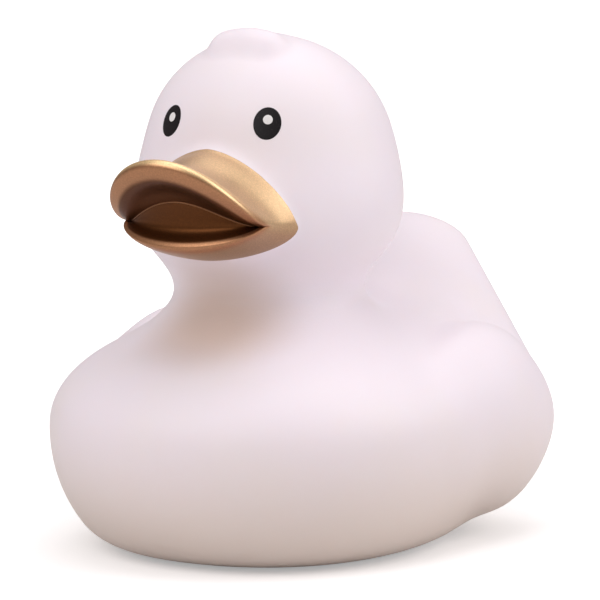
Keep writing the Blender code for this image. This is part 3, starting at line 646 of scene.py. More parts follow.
def face_point():
    """The point of the face in front of the head's middle, at the height of the mouth."""
    face = bpy.context.scene.duck_head
    mouth_z = face.z - bpy.context.scene.duck_beak.mouth_drop
    start = np.array([[0.0, face.y, mouth_z]])
    return first_exit(head, start, np.array([[0.0, -1.0, 0.0]]))[0]


def root_outline(columns, inset):
    """Outline of the beak's root seen from the front: a peaked arch over a rounder one."""
    beak = bpy.context.scene.duck_beak
    halves = (
        (beak.root_rise - inset, beak.root_top_power),
        (-(beak.root_fall - inset), beak.root_chin_power),
    )
    arches = []
    for height, power in halves:
        turns = np.linspace(-math.pi / 2, math.pi / 2, columns // 2 + 1)
        across = np.sign(turns) * np.abs(np.sin(turns)) ** (2 / power)
        level = np.clip(np.cos(turns), 0.0, 1.0) ** (2 / power)
        x = (beak.root_half_width - inset) * across
        z = (height + beak.root_drop) * level - beak.root_drop
        arches.append(np.stack([x, np.zeros_like(x), z], axis=1))
    return np.concatenate([arches[0], arches[1][-2:0:-1]])


def beak_root(columns):
    """The section where the beak meets the face, sunk a little below the surface."""
    beak = bpy.context.scene.duck_beak
    ring = root_outline(columns, 0.0)
    starts = ring + np.array([0.0, bpy.context.scene.duck_head.y, face_point()[2]])
    forward = np.tile(np.array([[0.0, -1.0, 0.0]]), (len(ring), 1))
    return first_exit(duck, starts, forward) + np.array([0.0, beak.root_sink, 0.0])


def beak_section(columns, half_width, corner_reach, upper, lower):
    """One ring of the beak; upper and lower hold reach, rise, roundness, any bow and bulge."""
    over = half_ring(columns, half_width, corner_reach, *upper)
    under = half_ring(columns, half_width, corner_reach, *lower)
    return np.concatenate([over, under[-2:0:-1]]) + face_point()


def beak_rings(columns):
    """All the sections of the beak from its core inside the head to the mouth line."""
    beak = bpy.context.scene.duck_beak
    root = beak_root(columns)
    face = face_point()
    core = root * np.array([beak.core_scale, 1.0, 1.0]) + np.array([0.0, beak.core_depth, 0.0])
    core[:, 2] = face[2] + (core[:, 2] - face[2]) * beak.core_scale
    sections = [core, root]
    shapes = (
        ("flank", beak.flank_bow, 0.0),
        ("rim", 1.0, beak.rim_bulge),
        ("bead", 1.0, beak.rim_bulge),
        ("lip", 1.0, 0.0),
        ("hollow", 1.0, 0.0),
    )
    for part, bow, bulge in shapes:
        value = {name: getattr(beak, part + "_" + name) for name in SECTION_VALUES}
        upper = (value["top_reach"], value["top_rise"], value["top_roundness"], bow, bulge)
        lower = (value["chin_reach"], -value["chin_fall"], value["chin_roundness"], bow)
        ring = beak_section(columns, value["half_width"], value["corner_reach"], upper, lower)
        sections.append(ring)
    line = (beak.mouth_line_reach, beak.mouth_line_rise, beak.mouth_roundness, beak.mouth_bow)
    sections.append(
        beak_section(columns, beak.mouth_half_width, beak.mouth_corner_reach, line, line)
    )
    return np.array(sections)


def smooth_rings(sections, steps):
    """Rings between the sections, on a smooth curve through them that never overshoots."""
    leaps = np.diff(sections, axis=0)
    before, after = leaps[:-1], leaps[1:]
    agree = before * after > 0
    slopes = np.concatenate([leaps[:1], np.zeros_like(after), leaps[-1:]])
    np.divide(2 * before * after, before + after, out=slopes[1:-1], where=agree)
    rings = [sections[0]]
    for index in range(1, len(leaps)):
        for step in range(steps):
            part = step / steps
            bend = part * (1 - part)
            way = part * part * (3 - 2 * part)
            lead = bend * ((1 - part) * slopes[index] - part * slopes[index + 1])
            rings.append(sections[index] + way * leaps[index] + lead)
    rings.append(sections[-1])
    return np.array(rings)


def round_flank(rings, steps, passes):
    """Round the rings beside the mouth corners and on top, less towards the rim."""
    share = 1.0 - np.arange(len(rings)) / (2 * steps)
    share = np.clip(share, 0.0, 1.0).reshape(-1, 1, 1) / 2
    for _ in range(passes):
        even = (np.roll(rings, 1, axis=1) + np.roll(rings, -1, axis=1)) / 2
        rings = rings + share * (even - rings)
    return rings


def beak_grid():
    """The fine rings of the beak, with the ridges between them rounded a little."""
    fineness = bpy.context.scene.duck_fineness
    rings = smooth_rings(beak_rings(fineness.beak_columns), fineness.beak_steps)
    rings = round_flank(rings, fineness.beak_steps, fineness.corner_passes)
    for _ in range(fineness.rounding_passes):
        rings[2:-1] = (rings[1:-2] + 2 * rings[2:-1] + rings[3:]) / 4
    return rings


# Building blocks


def new_object(name, mesh):
    """Link a bmesh as an object whose faces point out."""
    bmesh.ops.recalc_face_normals(mesh, faces=mesh.faces)
    data = bpy.data.meshes.new(name)
    mesh.to_mesh(data)
    mesh.free()
    made = bpy.data.objects.new(name, data)
    bpy.context.scene.collection.objects.link(made)
    return made


def skin_on(name, form, segments, rings):
    """A closed skin on a form, from a sphere primitive."""
    mesh = bmesh.new()
    bmesh.ops.create_uvsphere(mesh, u_segments=segments, v_segments=rings, radius=1.0)
    move_onto(mesh, form, segments, rings)
    return new_object(name, mesh)


def beak_solid():
    """The solid beak, lofted ring by ring and zipped together along the mouth line."""
    mesh = bmesh.new()
    rings = beak_grid()
    columns = rings.shape[1]
    grid = [[mesh.verts.new(point) for point in ring] for ring in rings]
    for near, far in zip(grid, grid[1:]):
        for index in range(columns):
            after = (index + 1) % columns
            mesh.faces.new((near[index], near[after], far[after], far[index]))
    middle = mesh.verts.new(rings[0].mean(axis=0))
    for index in range(columns):
        mesh.faces.new((grid[0][(index + 1) % columns], grid[0][index], middle))
    bmesh.ops.remove_doubles(mesh, verts=grid[-1], dist=WELD)
    return new_object("beak_solid", mesh)


def upright_cylinder(name, radius, low, high, y):
    """An upright cylinder on the plane of symmetry, for a hole."""
    mesh = bmesh.new()
    bmesh.ops.create_cone(
        mesh, cap_ends=True, segments=ROUND_SEGMENTS, radius1=radius, radius2=radius, depth=high - low
    )
    bmesh.ops.translate(mesh, verts=mesh.verts, vec=(0.0, y, (low + high) / 2))
    return new_object(name, mesh)


def combine(target, other, operation):
    """Boolean the target with the other solid, which is then removed."""
    modifier = target.modifiers.new(operation.title(), "BOOLEAN")
    modifier.object = other
    modifier.operation = operation
    modifier.solver = "EXACT"
    modifier.material_mode = "TRANSFER"
    make_plain(target)
    bpy.data.objects.remove(other, do_unlink=True)


def make_plain(piece):
    """Turn what the modifiers show into the object's own mesh."""
    graph = bpy.context.evaluated_depsgraph_get()
    data = bpy.data.meshes.new_from_object(piece.evaluated_get(graph))
    piece.modifiers.clear()
    piece.data = data


def settled_shift():
    """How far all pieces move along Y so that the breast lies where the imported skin's does."""
    body = bpy.context.scene.duck_body
    return SKIN_LOW.y - (body.y - body.front)


def settle(data):
    """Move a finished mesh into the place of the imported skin."""
    data.transform(Matrix.Translation((0.0, settled_shift(), 0.0)))


def vertex_places(data):
    places = np.empty(len(data.vertices) * 3)
    data.vertices.foreach_get("co", places)
    return places.reshape(-1, 3)


def nearest(places, targets):
    """For each place, the index of the nearest target and the distance to it."""
    tree = KDTree(len(targets))
    for index, target in enumerate(targets):
        tree.insert(target, index)
    tree.balance()
    found = [tree.find(place) for place in places]
    return np.array([hit[1] for hit in found]), np.array([hit[2] for hit in found])


def seam_vertices(data):
    """The vertices where faces of the first and the second material meet."""
    slot = np.empty(len(data.polygons), dtype=int)
    corners = np.empty(len(data.polygons), dtype=int)
    vertex = np.empty(len(data.loops), dtype=int)
    data.polygons.foreach_get("material_index", slot)
    data.polygons.foreach_get("loop_total", corners)
    data.loops.foreach_get("vertex_index", vertex)
    painted = np.repeat(slot, corners) == 1
    touches = np.zeros((2, len(data.vertices)), dtype=bool)
    touches[0, vertex[~painted]] = True
    touches[1, vertex[painted]] = True
    return np.flatnonzero(touches.all(axis=0))


def fillet_seam(data, reach, passes):
    """Smooth the crease where the beak meets the face, fading out over the reach."""
    places = vertex_places(data)
    distance = nearest(places, places[seam_vertices(data)])[1]
    weight = np.clip(1.0 - distance / reach, 0.0, 1.0)[:, None]
    ends = np.empty(len(data.edges) * 2, dtype=int)
    data.edges.foreach_get("vertices", ends)
    first, second = ends.reshape(-1, 2).T
    count = len(places)
    valence = np.bincount(ends, minlength=count)[:, None]
    for _ in range(passes):
        total = np.stack(
            [
                np.bincount(first, places[second, axis], count)
                + np.bincount(second, places[first, axis], count)
                for axis in range(3)
            ],
            axis=1,
        )
        places = places + weight * (total / valence - places) / 2
    data.vertices.foreach_set("co", places.ravel())
    data.update()


def paint_mask():
    """A bar along Y whose section is the paint's outline."""
    beak = bpy.context.scene.duck_beak
    ring = root_outline(bpy.context.scene.duck_fineness.beak_columns, beak.paint_inset)
    ring = ring + np.array([0.0, bpy.context.scene.duck_head.y, face_point()[2]])
    mesh = bmesh.new()
    near = [mesh.verts.new(point) for point in ring]
    made = bmesh.ops.extrude_face_region(mesh, geom=[mesh.faces.new(near)])["geom"]
    ends = [item for item in made if isinstance(item, bmesh.types.BMVert)]
    bmesh.ops.translate(mesh, verts=ends, vec=(0.0, -2 * bpy.context.scene.duck_body.front, 0.0))
    return new_object("paint_mask", mesh)


def tidy_patch(mesh):
    """Remove an open patch's loose edges and the vertices where it only touches itself."""
    stray = True
    while stray:
        loose = [edge for edge in mesh.edges if edge.is_wire]
        bmesh.ops.delete(mesh, geom=loose, context="EDGES")
        stray = [
            vertex
            for vertex in mesh.verts
            if sum(edge.is_boundary for edge in vertex.link_edges) > 2
        ]
        bmesh.ops.delete(mesh, geom=stray, context="VERTS")


def paint_film(skin):
    """A thin closed film of paint over the beak, cut to the paint's outline."""
    beak = bpy.context.scene.duck_beak
    head_y = bpy.context.scene.duck_head.y
    mouth_z = face_point()[2]
    side = beak.root_half_width + beak.paint_margin
    high = mouth_z + beak.root_rise + beak.paint_margin
    low = mouth_z - beak.root_fall - beak.paint_margin
    mesh = bmesh.new()
    mesh.from_mesh(skin.data)
    bare = []
    for face in mesh.faces:
        x, y, z = face.calc_center_median()
        if y > head_y or abs(x) > side or not low < z < high:
            bare.append(face)
    bmesh.ops.delete(mesh, geom=bare, context="FACES")
    tidy_patch(mesh)
    mesh.normal_update()
    lifted = [vertex.co + vertex.normal * beak.paint_lift for vertex in mesh.verts]
    for vertex, place in zip(mesh.verts, lifted):
        vertex.co = place
    data = bpy.data.meshes.new("beak_paint")
    mesh.to_mesh(data)
    mesh.free()
    film = bpy.data.objects.new("beak_paint", data)
    bpy.context.scene.collection.objects.link(film)
    shell = film.modifiers.new("Film", "SOLIDIFY")
    shell.thickness = beak.paint_thickness
    shell.offset = -1.0
    make_plain(film)
    combine(film, paint_mask(), "INTERSECT")
    return film


def mark_loft(film, grid):
    """Store where each vertex of the paint lies: 1 at the root to 7 at the mouth line."""
    steps = bpy.context.scene.duck_fineness.beak_steps
    columns = grid.shape[1]
    index = nearest(vertex_places(film.data), grid.reshape(-1, 3))[0]
    along = film.data.attributes.new("loft", "FLOAT", "POINT")
    along.data.foreach_set("value", 1.0 + (index // columns - 1) / steps)
    turn = index % columns * 2 * math.pi / columns
    over = film.data.attributes.new("over", "FLOAT", "POINT")
    over.data.foreach_set("value", np.sin(turn))


# Printed eyes


def eye_frame(side):
    """Where an eye lies on the head, with the level, upward and outward directions there."""
    eyes = bpy.context.scene.duck_print
    face = bpy.context.scene.duck_head
    start = np.array([[side * eyes.x, face.y, face.z + eyes.rise]])
    place = first_exit(duck, start, np.array([[0.0, -1.0, 0.0]]))
    outward = duck(place + np.eye(3) * eyes.thickness) - duck(place)
    outward = outward / np.linalg.norm(outward)
    level = np.cross(outward, (0.0, 0.0, 1.0))
    level = level / np.linalg.norm(level)
    level = math.cos(eyes.lean) * level + math.sin(eyes.lean) * np.cross(level, outward)
    return place[0], level, np.cross(level, outward), outward


def printed_oval(mesh, side, half_width, half_height, rise, thickness):
    """A flat oval of ink that follows the head, from a flattened sphere."""
    made = bmesh.ops.create_uvsphere(
        mesh, u_segments=EYE_SEGMENTS, v_segments=EYE_SEGMENTS // 2, radius=1.0
    )["verts"]
    unit = np.array([vertex.co[:] for vertex in made])
    middle, level, upward, outward = eye_frame(side)
    across = unit[:, :1] * half_width * level
    upright = (rise + unit[:, 1:2] * half_height) * upward
    starts = middle + across + upright - outward * bpy.context.scene.duck_head.half_width / 2
    places = first_exit(duck, starts, np.tile(outward, (len(unit), 1)))
    height = np.sign(unit[:, 2:]) * np.abs(unit[:, 2:]) ** INK_FLATNESS * thickness
    for vertex, place in zip(made, places + outward * height):
        vertex.co = place


# Materials


def add_node(tree, kind, inputs=None, **settings):
    """Add a node, set its own values and the values of its inputs."""
    node = tree.nodes.new(kind)
    for name, value in settings.items():
        setattr(node, name, value)
    for name, value in (inputs or {}).items():
        node.inputs[name].default_value = value
    return node


def moulded_surface():
    """Node group: fine grain and wide unevenness of a moulded or painted surface."""
    group = bpy.data.node_groups.new("Moulded surface", "ShaderNodeTree")
    socket = group.interface.new_socket("Grain size", in_out="INPUT", socket_type="NodeSocketFloat")
    socket.description = "Size of the fine grain in metres"
    socket.default_value = 0.4 * MM
    for name in ("Grain", "Patches", "Height"):
        group.interface.new_socket(name, in_out="OUTPUT", socket_type="NodeSocketFloat")
    inlet = group.nodes.new("NodeGroupInput")
    outlet = group.nodes.new("NodeGroupOutput")
    places = add_node(group, "ShaderNodeTexCoord")
    density = add_node(group, "ShaderNodeMath", {0: 1.0}, operation="DIVIDE")
    group.links.new(inlet.outputs["Grain size"], density.inputs[1])
    grain = add_node(group, "ShaderNodeTexNoise", {"Detail": 2.0, "Roughness": 0.6})
    group.links.new(density.outputs[0], grain.inputs["Scale"])
    patches = add_node(group, "ShaderNodeTexNoise", {"Scale": PATCHES_PER_METRE, "Detail": 3.0})
    for texture in (grain, patches):
        group.links.new(places.outputs["Object"], texture.inputs["Vector"])
    height = add_node(group, "ShaderNodeMath", {1: PATCH_SHARE}, operation="MULTIPLY_ADD")
    group.links.new(patches.outputs["Fac"], height.inputs[0])
    group.links.new(grain.outputs["Fac"], height.inputs[2])
    group.links.new(grain.outputs["Fac"], outlet.inputs["Grain"])
    group.links.new(patches.outputs["Fac"], outlet.inputs["Patches"])
    group.links.new(height.outputs[0], outlet.inputs["Height"])
    return group


def start_material(name, roughness, spread, bump, grain_size):
    """A Principled material with the shared surface feeding its roughness and bump."""
    made = bpy.data.materials.new(name)
    made.use_nodes = True
    tree = made.node_tree
    shader = tree.nodes["Principled BSDF"]
    surface = add_node(tree, "ShaderNodeGroup")
    surface.node_tree = bpy.data.node_groups.get("Moulded surface") or moulded_surface()
    surface.inputs["Grain size"].default_value = grain_size
    limits = {"To Min": roughness - spread, "To Max": roughness + spread}
    uneven = add_node(tree, "ShaderNodeMapRange", limits)
    tree.links.new(surface.outputs["Patches"], uneven.inputs["Value"])
    tree.links.new(uneven.outputs["Result"], shader.inputs["Roughness"])
    relief = add_node(tree, "ShaderNodeBump", {"Strength": 1.0, "Distance": bump})
    tree.links.new(surface.outputs["Height"], relief.inputs["Height"])
    tree.links.new(relief.outputs["Normal"], shader.inputs["Normal"])
    return made, tree, shader, surface


def mix_colours(tree, first, second, mask):
    """Mix two colours, each a colour value or an output, by a mask output."""
    mix = add_node(tree, "ShaderNodeMix", data_type="RGBA")
    sockets = [mix.inputs[index] for index in (6, 7)]
    for socket, source in zip(sockets, (first, second)):
        if isinstance(source, bpy.types.NodeSocket):
            tree.links.new(source, socket)
        else:
            socket.default_value = source
    tree.links.new(mask, mix.inputs[0])
    return mix.outputs[2]


def ramp(tree, value, low, high):
    """A mask that rises smoothly from 0 at low to 1 at high."""
    node = add_node(
        tree, "ShaderNodeMapRange", {"From Min": low, "From Max": high}, interpolation_type="SMOOTHSTEP"
    )
    tree.links.new(value, node.inputs["Value"])
    return node.outputs["Result"]


def ridge_nodes(finish):
    """Node group: a round ridge swept along a line, which thins out to both ends."""
    group = bpy.data.node_groups.new("Ridge", "GeometryNodeTree")
    group.interface.new_socket("Line", in_out="INPUT", socket_type="NodeSocketGeometry")
    radius = group.interface.new_socket("Radius", in_out="INPUT", socket_type="NodeSocketFloat")
    radius.description = "Radius of the ridge in its middle"
    group.interface.new_socket("Ridge", in_out="OUTPUT", socket_type="NodeSocketGeometry")
    inlet = group.nodes.new("NodeGroupInput")
    outlet = group.nodes.new("NodeGroupOutput")
    curve = group.nodes.new("GeometryNodeMeshToCurve")
    place = group.nodes.new("GeometryNodeSplineParameter")
    thin = add_node(group, "ShaderNodeFloatCurve")
    points = thin.mapping.curves[0].points
    points[0].location = (0.0, RIDGE_END)
    points[1].location = (1.0, RIDGE_END)
    points.new(RIDGE_RUN, 1.0)
    points.new(1.0 - RIDGE_RUN, 1.0)
    thin.mapping.update()
    scale = group.nodes.new("GeometryNodeSetCurveRadius")
    profile = add_node(group, "GeometryNodeCurvePrimitiveCircle", {"Resolution": RIDGE_SIDES})
    sweep = add_node(group, "GeometryNodeCurveToMesh", {"Fill Caps": True})
    whole = group.nodes.new("GeometryNodeRealizeInstances")
    smooth = group.nodes.new("GeometryNodeSetShadeSmooth")
    paint = add_node(group, "GeometryNodeSetMaterial", {"Material": finish})
    link = group.links.new
    link(inlet.outputs["Line"], curve.inputs["Mesh"])
    link(curve.outputs[0], scale.inputs["Curve"])
    link(place.outputs["Factor"], thin.inputs["Value"])
    link(thin.outputs[0], scale.inputs["Radius"])
    link(inlet.outputs["Radius"], profile.inputs["Radius"])
    link(scale.outputs[0], sweep.inputs["Curve"])
    link(profile.outputs[0], sweep.inputs["Profile Curve"])
    link(sweep.outputs[0], whole.inputs[0])
    link(whole.outputs[0], smooth.inputs[0])
    link(smooth.outputs[0], paint.inputs["Geometry"])
    link(paint.outputs[0], outlet.inputs["Ridge"])
    return group


def vinyl_material():
    """Soft white vinyl with a fine satin grain, warmer in patches, with a painted shadow and warm
    reflection of the gold below the beak, and painted shade and warm bounce light towards the base.
    """
    body = bpy.context.scene.duck_body
    colours = bpy.context.scene.duck_colours
    made, tree, shader, surface = start_material(
        "vinyl_white", roughness=0.46, spread=0.05, bump=0.012 * MM, grain_size=0.35 * MM
    )
    shader.inputs["Subsurface Weight"].default_value = 0.12
    shader.inputs["Subsurface Radius"].default_value = SKIN_SPREAD
    shader.inputs["Subsurface Scale"].default_value = 1.5 * MM
    shader.inputs["Specular IOR Level"].default_value = 0.35
    places = add_node(tree, "ShaderNodeTexCoord").outputs["Object"]
    split = add_node(tree, "ShaderNodeSeparateXYZ")
    tree.links.new(places, split.inputs[0])
    patches = ramp(tree, surface.outputs["Patches"], *WARM_PATCHES)
    base = mix_colours(tree, colours.vinyl, colours.vinyl_warm, patches)
    # Painted shade and warm bounce light: darker and warmer towards the base
    low = ramp(tree, split.outputs["Z"], body.base_shade_top_z, body.base_shade_full_z)
    base = mix_colours(tree, base, colours.vinyl_base_shade, low)
    # Painted shadow and warm reflection of the gold on the vinyl below the beak
    middle = (0.0, body.neck_y - body.neck_radius, body.beak_shadow_z)
    away = add_node(tree, "ShaderNodeVectorMath", {1: middle}, operation="DISTANCE")
    tree.links.new(places, away.inputs[0])
    beak_shadow = ramp(tree, away.outputs["Value"], body.beak_shadow_reach, body.beak_shadow_core)
    base = mix_colours(tree, base, colours.vinyl_beak_shadow, beak_shadow)
    tree.links.new(base, shader.inputs["Base Color"])
    return made


def gold_material():
    """Satin gold paint, with a painted highlight on the upper rim and painted shade below, on the lips and
    between them.
    """
    colours = bpy.context.scene.duck_colours
    made, tree, shader, surface = start_material(
        "gold_paint", roughness=0.40, spread=0.04, bump=0.010 * MM, grain_size=0.25 * MM
    )
    shader.inputs["Metallic"].default_value = 0.9
    along = add_node(tree, "ShaderNodeAttribute", attribute_name="loft").outputs["Fac"]
    over = add_node(tree, "ShaderNodeAttribute", attribute_name="over").outputs["Fac"]
    # Painted shade: darker gold under the beak, facing down
    outside = mix_colours(tree, colours.gold_under_shade, colours.gold, ramp(tree, over, *CHIN_TO_BILL))
    # Painted highlight on the rim, giving way to the lips' painted shade near the corners
    edge = mix_colours(tree, colours.lip_shade, colours.rim, ramp(tree, over, *RIM_SHINES))
    base = mix_colours(tree, outside, edge, ramp(tree, along, *RIM_HIGHLIGHT_STARTS))
    # Painted shade on the lips' faces
    base = mix_colours(tree, base, colours.lip_shade, ramp(tree, along, *LIP_SHADE_STARTS))
    # Painted shade in the mouth's recess between the lips
    base = mix_colours(tree, base, colours.mouth, ramp(tree, along, *MOUTH_SHADE_STARTS))
    flakes = ramp(tree, surface.outputs["Grain"], *FLAKE_GRAIN)
    bright = mix_colours(tree, DARK_FLAKES, BRIGHT_FLAKES, flakes)
    shade = add_node(tree, "ShaderNodeMix", data_type="RGBA", blend_type="MULTIPLY")
    shade.inputs[0].default_value = 1.0
    tree.links.new(base, shade.inputs[6])
    tree.links.new(bright, shade.inputs[7])
    tree.links.new(shade.outputs[2], shader.inputs["Base Color"])
    return made


def ink_material(name, colour, speck):
    """Printed ink with fine specks where the vinyl shows through."""
    made, tree, shader, surface = start_material(
        name, roughness=0.42, spread=0.06, bump=0.010 * MM, grain_size=0.18 * MM
    )
    shader.inputs["Specular IOR Level"].default_value = 0.2
    specks = ramp(tree, surface.outputs["Grain"], *SPECK_GRAIN)
    tree.links.new(mix_colours(tree, colour, speck, specks), shader.inputs["Base Color"])
    return made


def plastic_material(name, colour, roughness):
    """Plain moulded plastic."""
    made, tree, shader, surface = start_material(
        name, roughness, spread=0.06, bump=0.010 * MM, grain_size=0.3 * MM
    )
    darker = tuple(PLASTIC_SHADE * value for value in colour[:3]) + (1.0,)
    patches = ramp(tree, surface.outputs["Patches"], *PLASTIC_PATCHES)
    tree.links.new(mix_colours(tree, colour, darker, patches), shader.inputs["Base Color"])
    return made


def floor_material():
    """Matte floor that keeps the duck's shadow and reads white to the camera."""
    settings = bpy.context.scene.duck_stage
    made = bpy.data.materials.new("floor")
    made.use_nodes = True
    tree = made.node_tree
    tree.nodes.clear()
    matte = add_node(tree, "ShaderNodeBsdfDiffuse", {"Color": settings.floor})
    places = add_node(tree, "ShaderNodeTexCoord")
    away = add_node(tree, "ShaderNodeVectorMath", operation="LENGTH")
    tree.links.new(places.outputs["Object"], away.inputs[0])
    far = ramp(tree, away.outputs["Value"], settings.near, settings.far)
    glow = add_node(tree, "ShaderNodeMapRange", {"To Min": settings.near_glow, "To Max": 1.0})
    tree.links.new(far, glow.inputs["Value"])
    seen = add_node(tree, "ShaderNodeLightPath")
    strength = add_node(tree, "ShaderNodeMath", operation="MULTIPLY")
    tree.links.new(glow.outputs["Result"], strength.inputs[0])
    tree.links.new(seen.outputs["Is Camera Ray"], strength.inputs[1])
    lit = add_node(tree, "ShaderNodeEmission")
    tree.links.new(strength.outputs[0], lit.inputs["Strength"])
    both = add_node(tree, "ShaderNodeAddShader")
    tree.links.new(matte.outputs[0], both.inputs[0])
    tree.links.new(lit.outputs[0], both.inputs[1])
    output = add_node(tree, "ShaderNodeOutputMaterial")
    tree.links.new(both.outputs[0], output.inputs["Surface"])
    return made


# Operators


class DUCK_OT_skin(bpy.types.Operator):
    """Build the moulded skin with its air space and squeaker hole, and the paint on its beak"""

    bl_idname = "duck.skin"
    bl_label = "Skin and beak"

    def execute(self, context):
        scene = context.scene
        body = scene.duck_body
        fineness = scene.duck_fineness
        skin = skin_on("duck_skin", duck, fineness.segments, fineness.rings)
        beak = beak_solid()
        skin.data.materials.append(vinyl_material())
        beak.data.materials.append(gold_material())
        combine(skin, beak, "UNION")
        fillet_seam(skin.data, scene.duck_beak.seam_reach, fineness.seam_passes)
        film = paint_film(skin)
        mark_loft(film, beak_grid())
        columns = fineness.segments // HOLLOW_COARSENESS
        rings = fineness.rings // HOLLOW_COARSENESS
        hollow = skin_on("air_space", air_space, columns, rings)
        below = -body.wall
        above = 2 * body.wall
        hole = upright_cylinder("squeaker_hole", body.hole_radius, below, above, body.hole_y)
        step = upright_cylinder("flange_step", body.step_radius, below, body.step_height, body.hole_y)
        for cutter in (hollow, hole, step):
            combine(skin, cutter, "DIFFERENCE")
        vinyl, gold = skin.data.materials[:2]
        for piece, finish in ((skin, vinyl), (film, gold)):
            piece.data.polygons.foreach_set("material_index", [0] * len(piece.data.polygons))
            piece.data.materials.clear()
            piece.data.materials.append(finish)
            piece.data.shade_smooth()
            piece.data.set_sharp_from_angle(angle=SHARP_ANGLE)
            settle(piece.data)
            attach(piece, "root")
        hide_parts("duck_body")
        return {"FINISHED"}


class DUCK_OT_eyes(bpy.types.Operator):
    """Print the two black ovals and their white dots on the head"""

    bl_idname = "duck.eyes"
    bl_label = "Eyes"

    def execute(self, context):
        eyes = context.scene.duck_print
        colours = context.scene.duck_colours
        prints = (
            ("eye_ovals", "eye_black", colours.ink, colours.ink_speck),
            ("eye_dots", "eye_white", colours.dot, colours.dot_speck),
        )
        shapes = (
            (eyes.half_width, eyes.half_height, 0.0, eyes.thickness),
            (eyes.dot_radius, eyes.dot_radius, eyes.dot_rise, eyes.dot_thickness),
        )
        for (name, slot, ink, speck), shape in zip(prints, shapes):
            mesh = bmesh.new()
            for side in (-1, 1):
                printed_oval(mesh, side, *shape)
            piece = new_object(name, mesh)
            piece.data.materials.append(ink_material(slot, ink, speck))
            piece.data.shade_smooth()
            settle(piece.data)
            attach(piece, "root")
        return {"FINISHED"}


class DUCK_OT_mouth_line(bpy.types.Operator):
    """Sweep the fine moulded ridge along the line between the lips"""

    bl_idname = "duck.mouth_line"
    bl_label = "Mouth line"

    def execute(self, context):
        beak = context.scene.duck_beak
        grid = beak_grid()
        line = grid[-1][: grid.shape[1] // 2 + 1] - np.array([0.0, beak.ridge_radius / 2, 0.0])
        data = bpy.data.meshes.new("mouth_line")
        edges = [(index, index + 1) for index in range(len(line) - 1)]
        data.from_pydata([tuple(point) for point in line], edges, [])
        ridge = bpy.data.objects.new("mouth_line", data)
        context.scene.collection.objects.link(ridge)
        sweep = ridge.modifiers.new("Ridge", "NODES")
        sweep.node_group = ridge_nodes(bpy.data.materials["gold_paint"])
        for item in sweep.node_group.interface.items_tree:
            if item.name == "Radius":
                sweep[item.identifier] = beak.ridge_radius
        make_plain(ridge)
        along = ridge.data.attributes.new("loft", "FLOAT", "POINT")
        # The ridge takes the painted shade between the lips' and the mouth's tones
        along.data.foreach_set("value", [RIDGE_SHADE_TONE] * len(ridge.data.vertices))
        settle(ridge.data)
        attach(ridge, "root")
        return {"FINISHED"}


class DUCK_OT_squeaker(bpy.types.Operator):
    """Give the squeaker's pieces their plastics"""

    bl_idname = "duck.squeaker"
    bl_label = "Squeaker"

    def execute(self, context):
        colours = context.scene.duck_colours
        plastic = plastic_material("squeaker_plastic", colours.plastic, roughness=0.45)
        film = plastic_material("reed_film", colours.reed, roughness=0.25)
        finishes = {
            "squeaker_housing": plastic,
            "squeaker_reed_block": plastic,
            "squeaker_reed": film,
        }
        for name, finish in finishes.items():
            bpy.data.objects[name].material_slots[0].material = finish
        return {"FINISHED"}


def point_at_duck(item, place):
    """Put a lamp or the camera at a place, turned to the middle of the picture."""
    item.location = place
    toward = Vector(bpy.context.scene.duck_stage.aim) - place
    item.rotation_euler = toward.to_track_quat("-Z", "Y").to_euler()


def area_lamp(name):
    """A soft square lamp that looks at the duck."""
    settings = bpy.context.scene.duck_stage
    light = bpy.data.lights.new(name, "AREA")
    light.size = getattr(settings, name + "_size")
    light.energy = getattr(settings, name + "_power")
    light.color = settings.lamp_colour
    lamp = bpy.data.objects.new(name, light)
    bpy.context.scene.collection.objects.link(lamp)
    place = Matrix.Rotation(settings.azimuth, 3, "Z") @ Vector(getattr(settings, name + "_place"))
    point_at_duck(lamp, place)


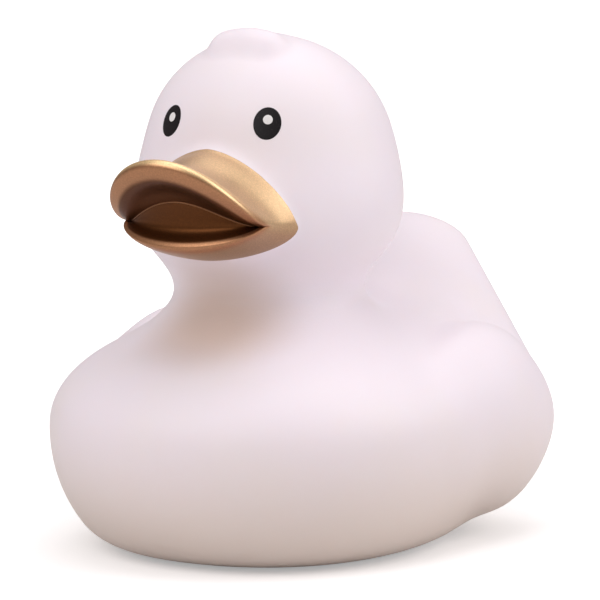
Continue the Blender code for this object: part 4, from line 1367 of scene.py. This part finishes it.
class DUCK_OT_stage(bpy.types.Operator):
    """Set up the floor, the lamps, the even light and the camera"""

    bl_idname = "duck.stage"
    bl_label = "Stage"

    def execute(self, context):
        scene = context.scene
        settings = scene.duck_stage
        mesh = bmesh.new()
        bmesh.ops.create_grid(mesh, x_segments=1, y_segments=1, size=settings.floor_half)
        floor = new_object("floor", mesh)
        floor.data.materials.append(floor_material())
        for name in LAMPS:
            area_lamp(name)
        world = bpy.data.worlds.new("sky")
        world.use_nodes = True
        background = world.node_tree.nodes["Background"]
        background.inputs["Color"].default_value = settings.sky_colour
        background.inputs["Strength"].default_value = settings.sky
        scene.world = world
        camera = bpy.data.objects.new("camera", bpy.data.cameras.new("camera"))
        scene.collection.objects.link(camera)
        head_axis = Vector((0.0, scene.duck_head.y + settled_shift(), settings.camera_z))
        back = Vector((-math.sin(settings.azimuth), math.cos(settings.azimuth), 0.0))
        point_at_duck(camera, head_axis - settings.distance * back)
        camera.data.lens = settings.lens
        scene.camera = camera
        scene.view_settings.view_transform = "Standard"
        return {"FINISHED"}


class DUCK_PT_panel(bpy.types.Panel):
    """Steps that build the duck, in order"""

    bl_idname = "DUCK_PT_panel"
    bl_label = "Rubber duck"
    bl_space_type = "VIEW_3D"
    bl_region_type = "UI"
    bl_category = "Duck"

    def draw(self, context):
        for operator in OPERATORS:
            self.layout.operator(operator.bl_idname)


GROUPS = {
    "duck_body": DuckBodySizes,
    "duck_head": DuckHeadSizes,
    "duck_beak": DuckBeakSizes,
    "duck_print": DuckPrintSizes,
    "duck_colours": DuckColours,
    "duck_fineness": DuckFineness,
    "duck_stage": DuckStageSettings,
}
OPERATORS = (DUCK_OT_skin, DUCK_OT_eyes, DUCK_OT_mouth_line, DUCK_OT_squeaker, DUCK_OT_stage)


def register():
    for item in (*GROUPS.values(), *OPERATORS, DUCK_PT_panel):
        bpy.utils.register_class(item)
    for name, group in GROUPS.items():
        setattr(bpy.types.Scene, name, PointerProperty(type=group))


def unregister():
    for name in GROUPS:
        delattr(bpy.types.Scene, name)
    for item in (DUCK_PT_panel, *reversed(OPERATORS), *reversed(GROUPS.values())):
        bpy.utils.unregister_class(item)


def main():
    register()
    bpy.ops.duck.skin()
    bpy.ops.duck.eyes()
    bpy.ops.duck.mouth_line()
    bpy.ops.duck.squeaker()
    bpy.ops.duck.stage()


if __name__ == "__main__":
    main()
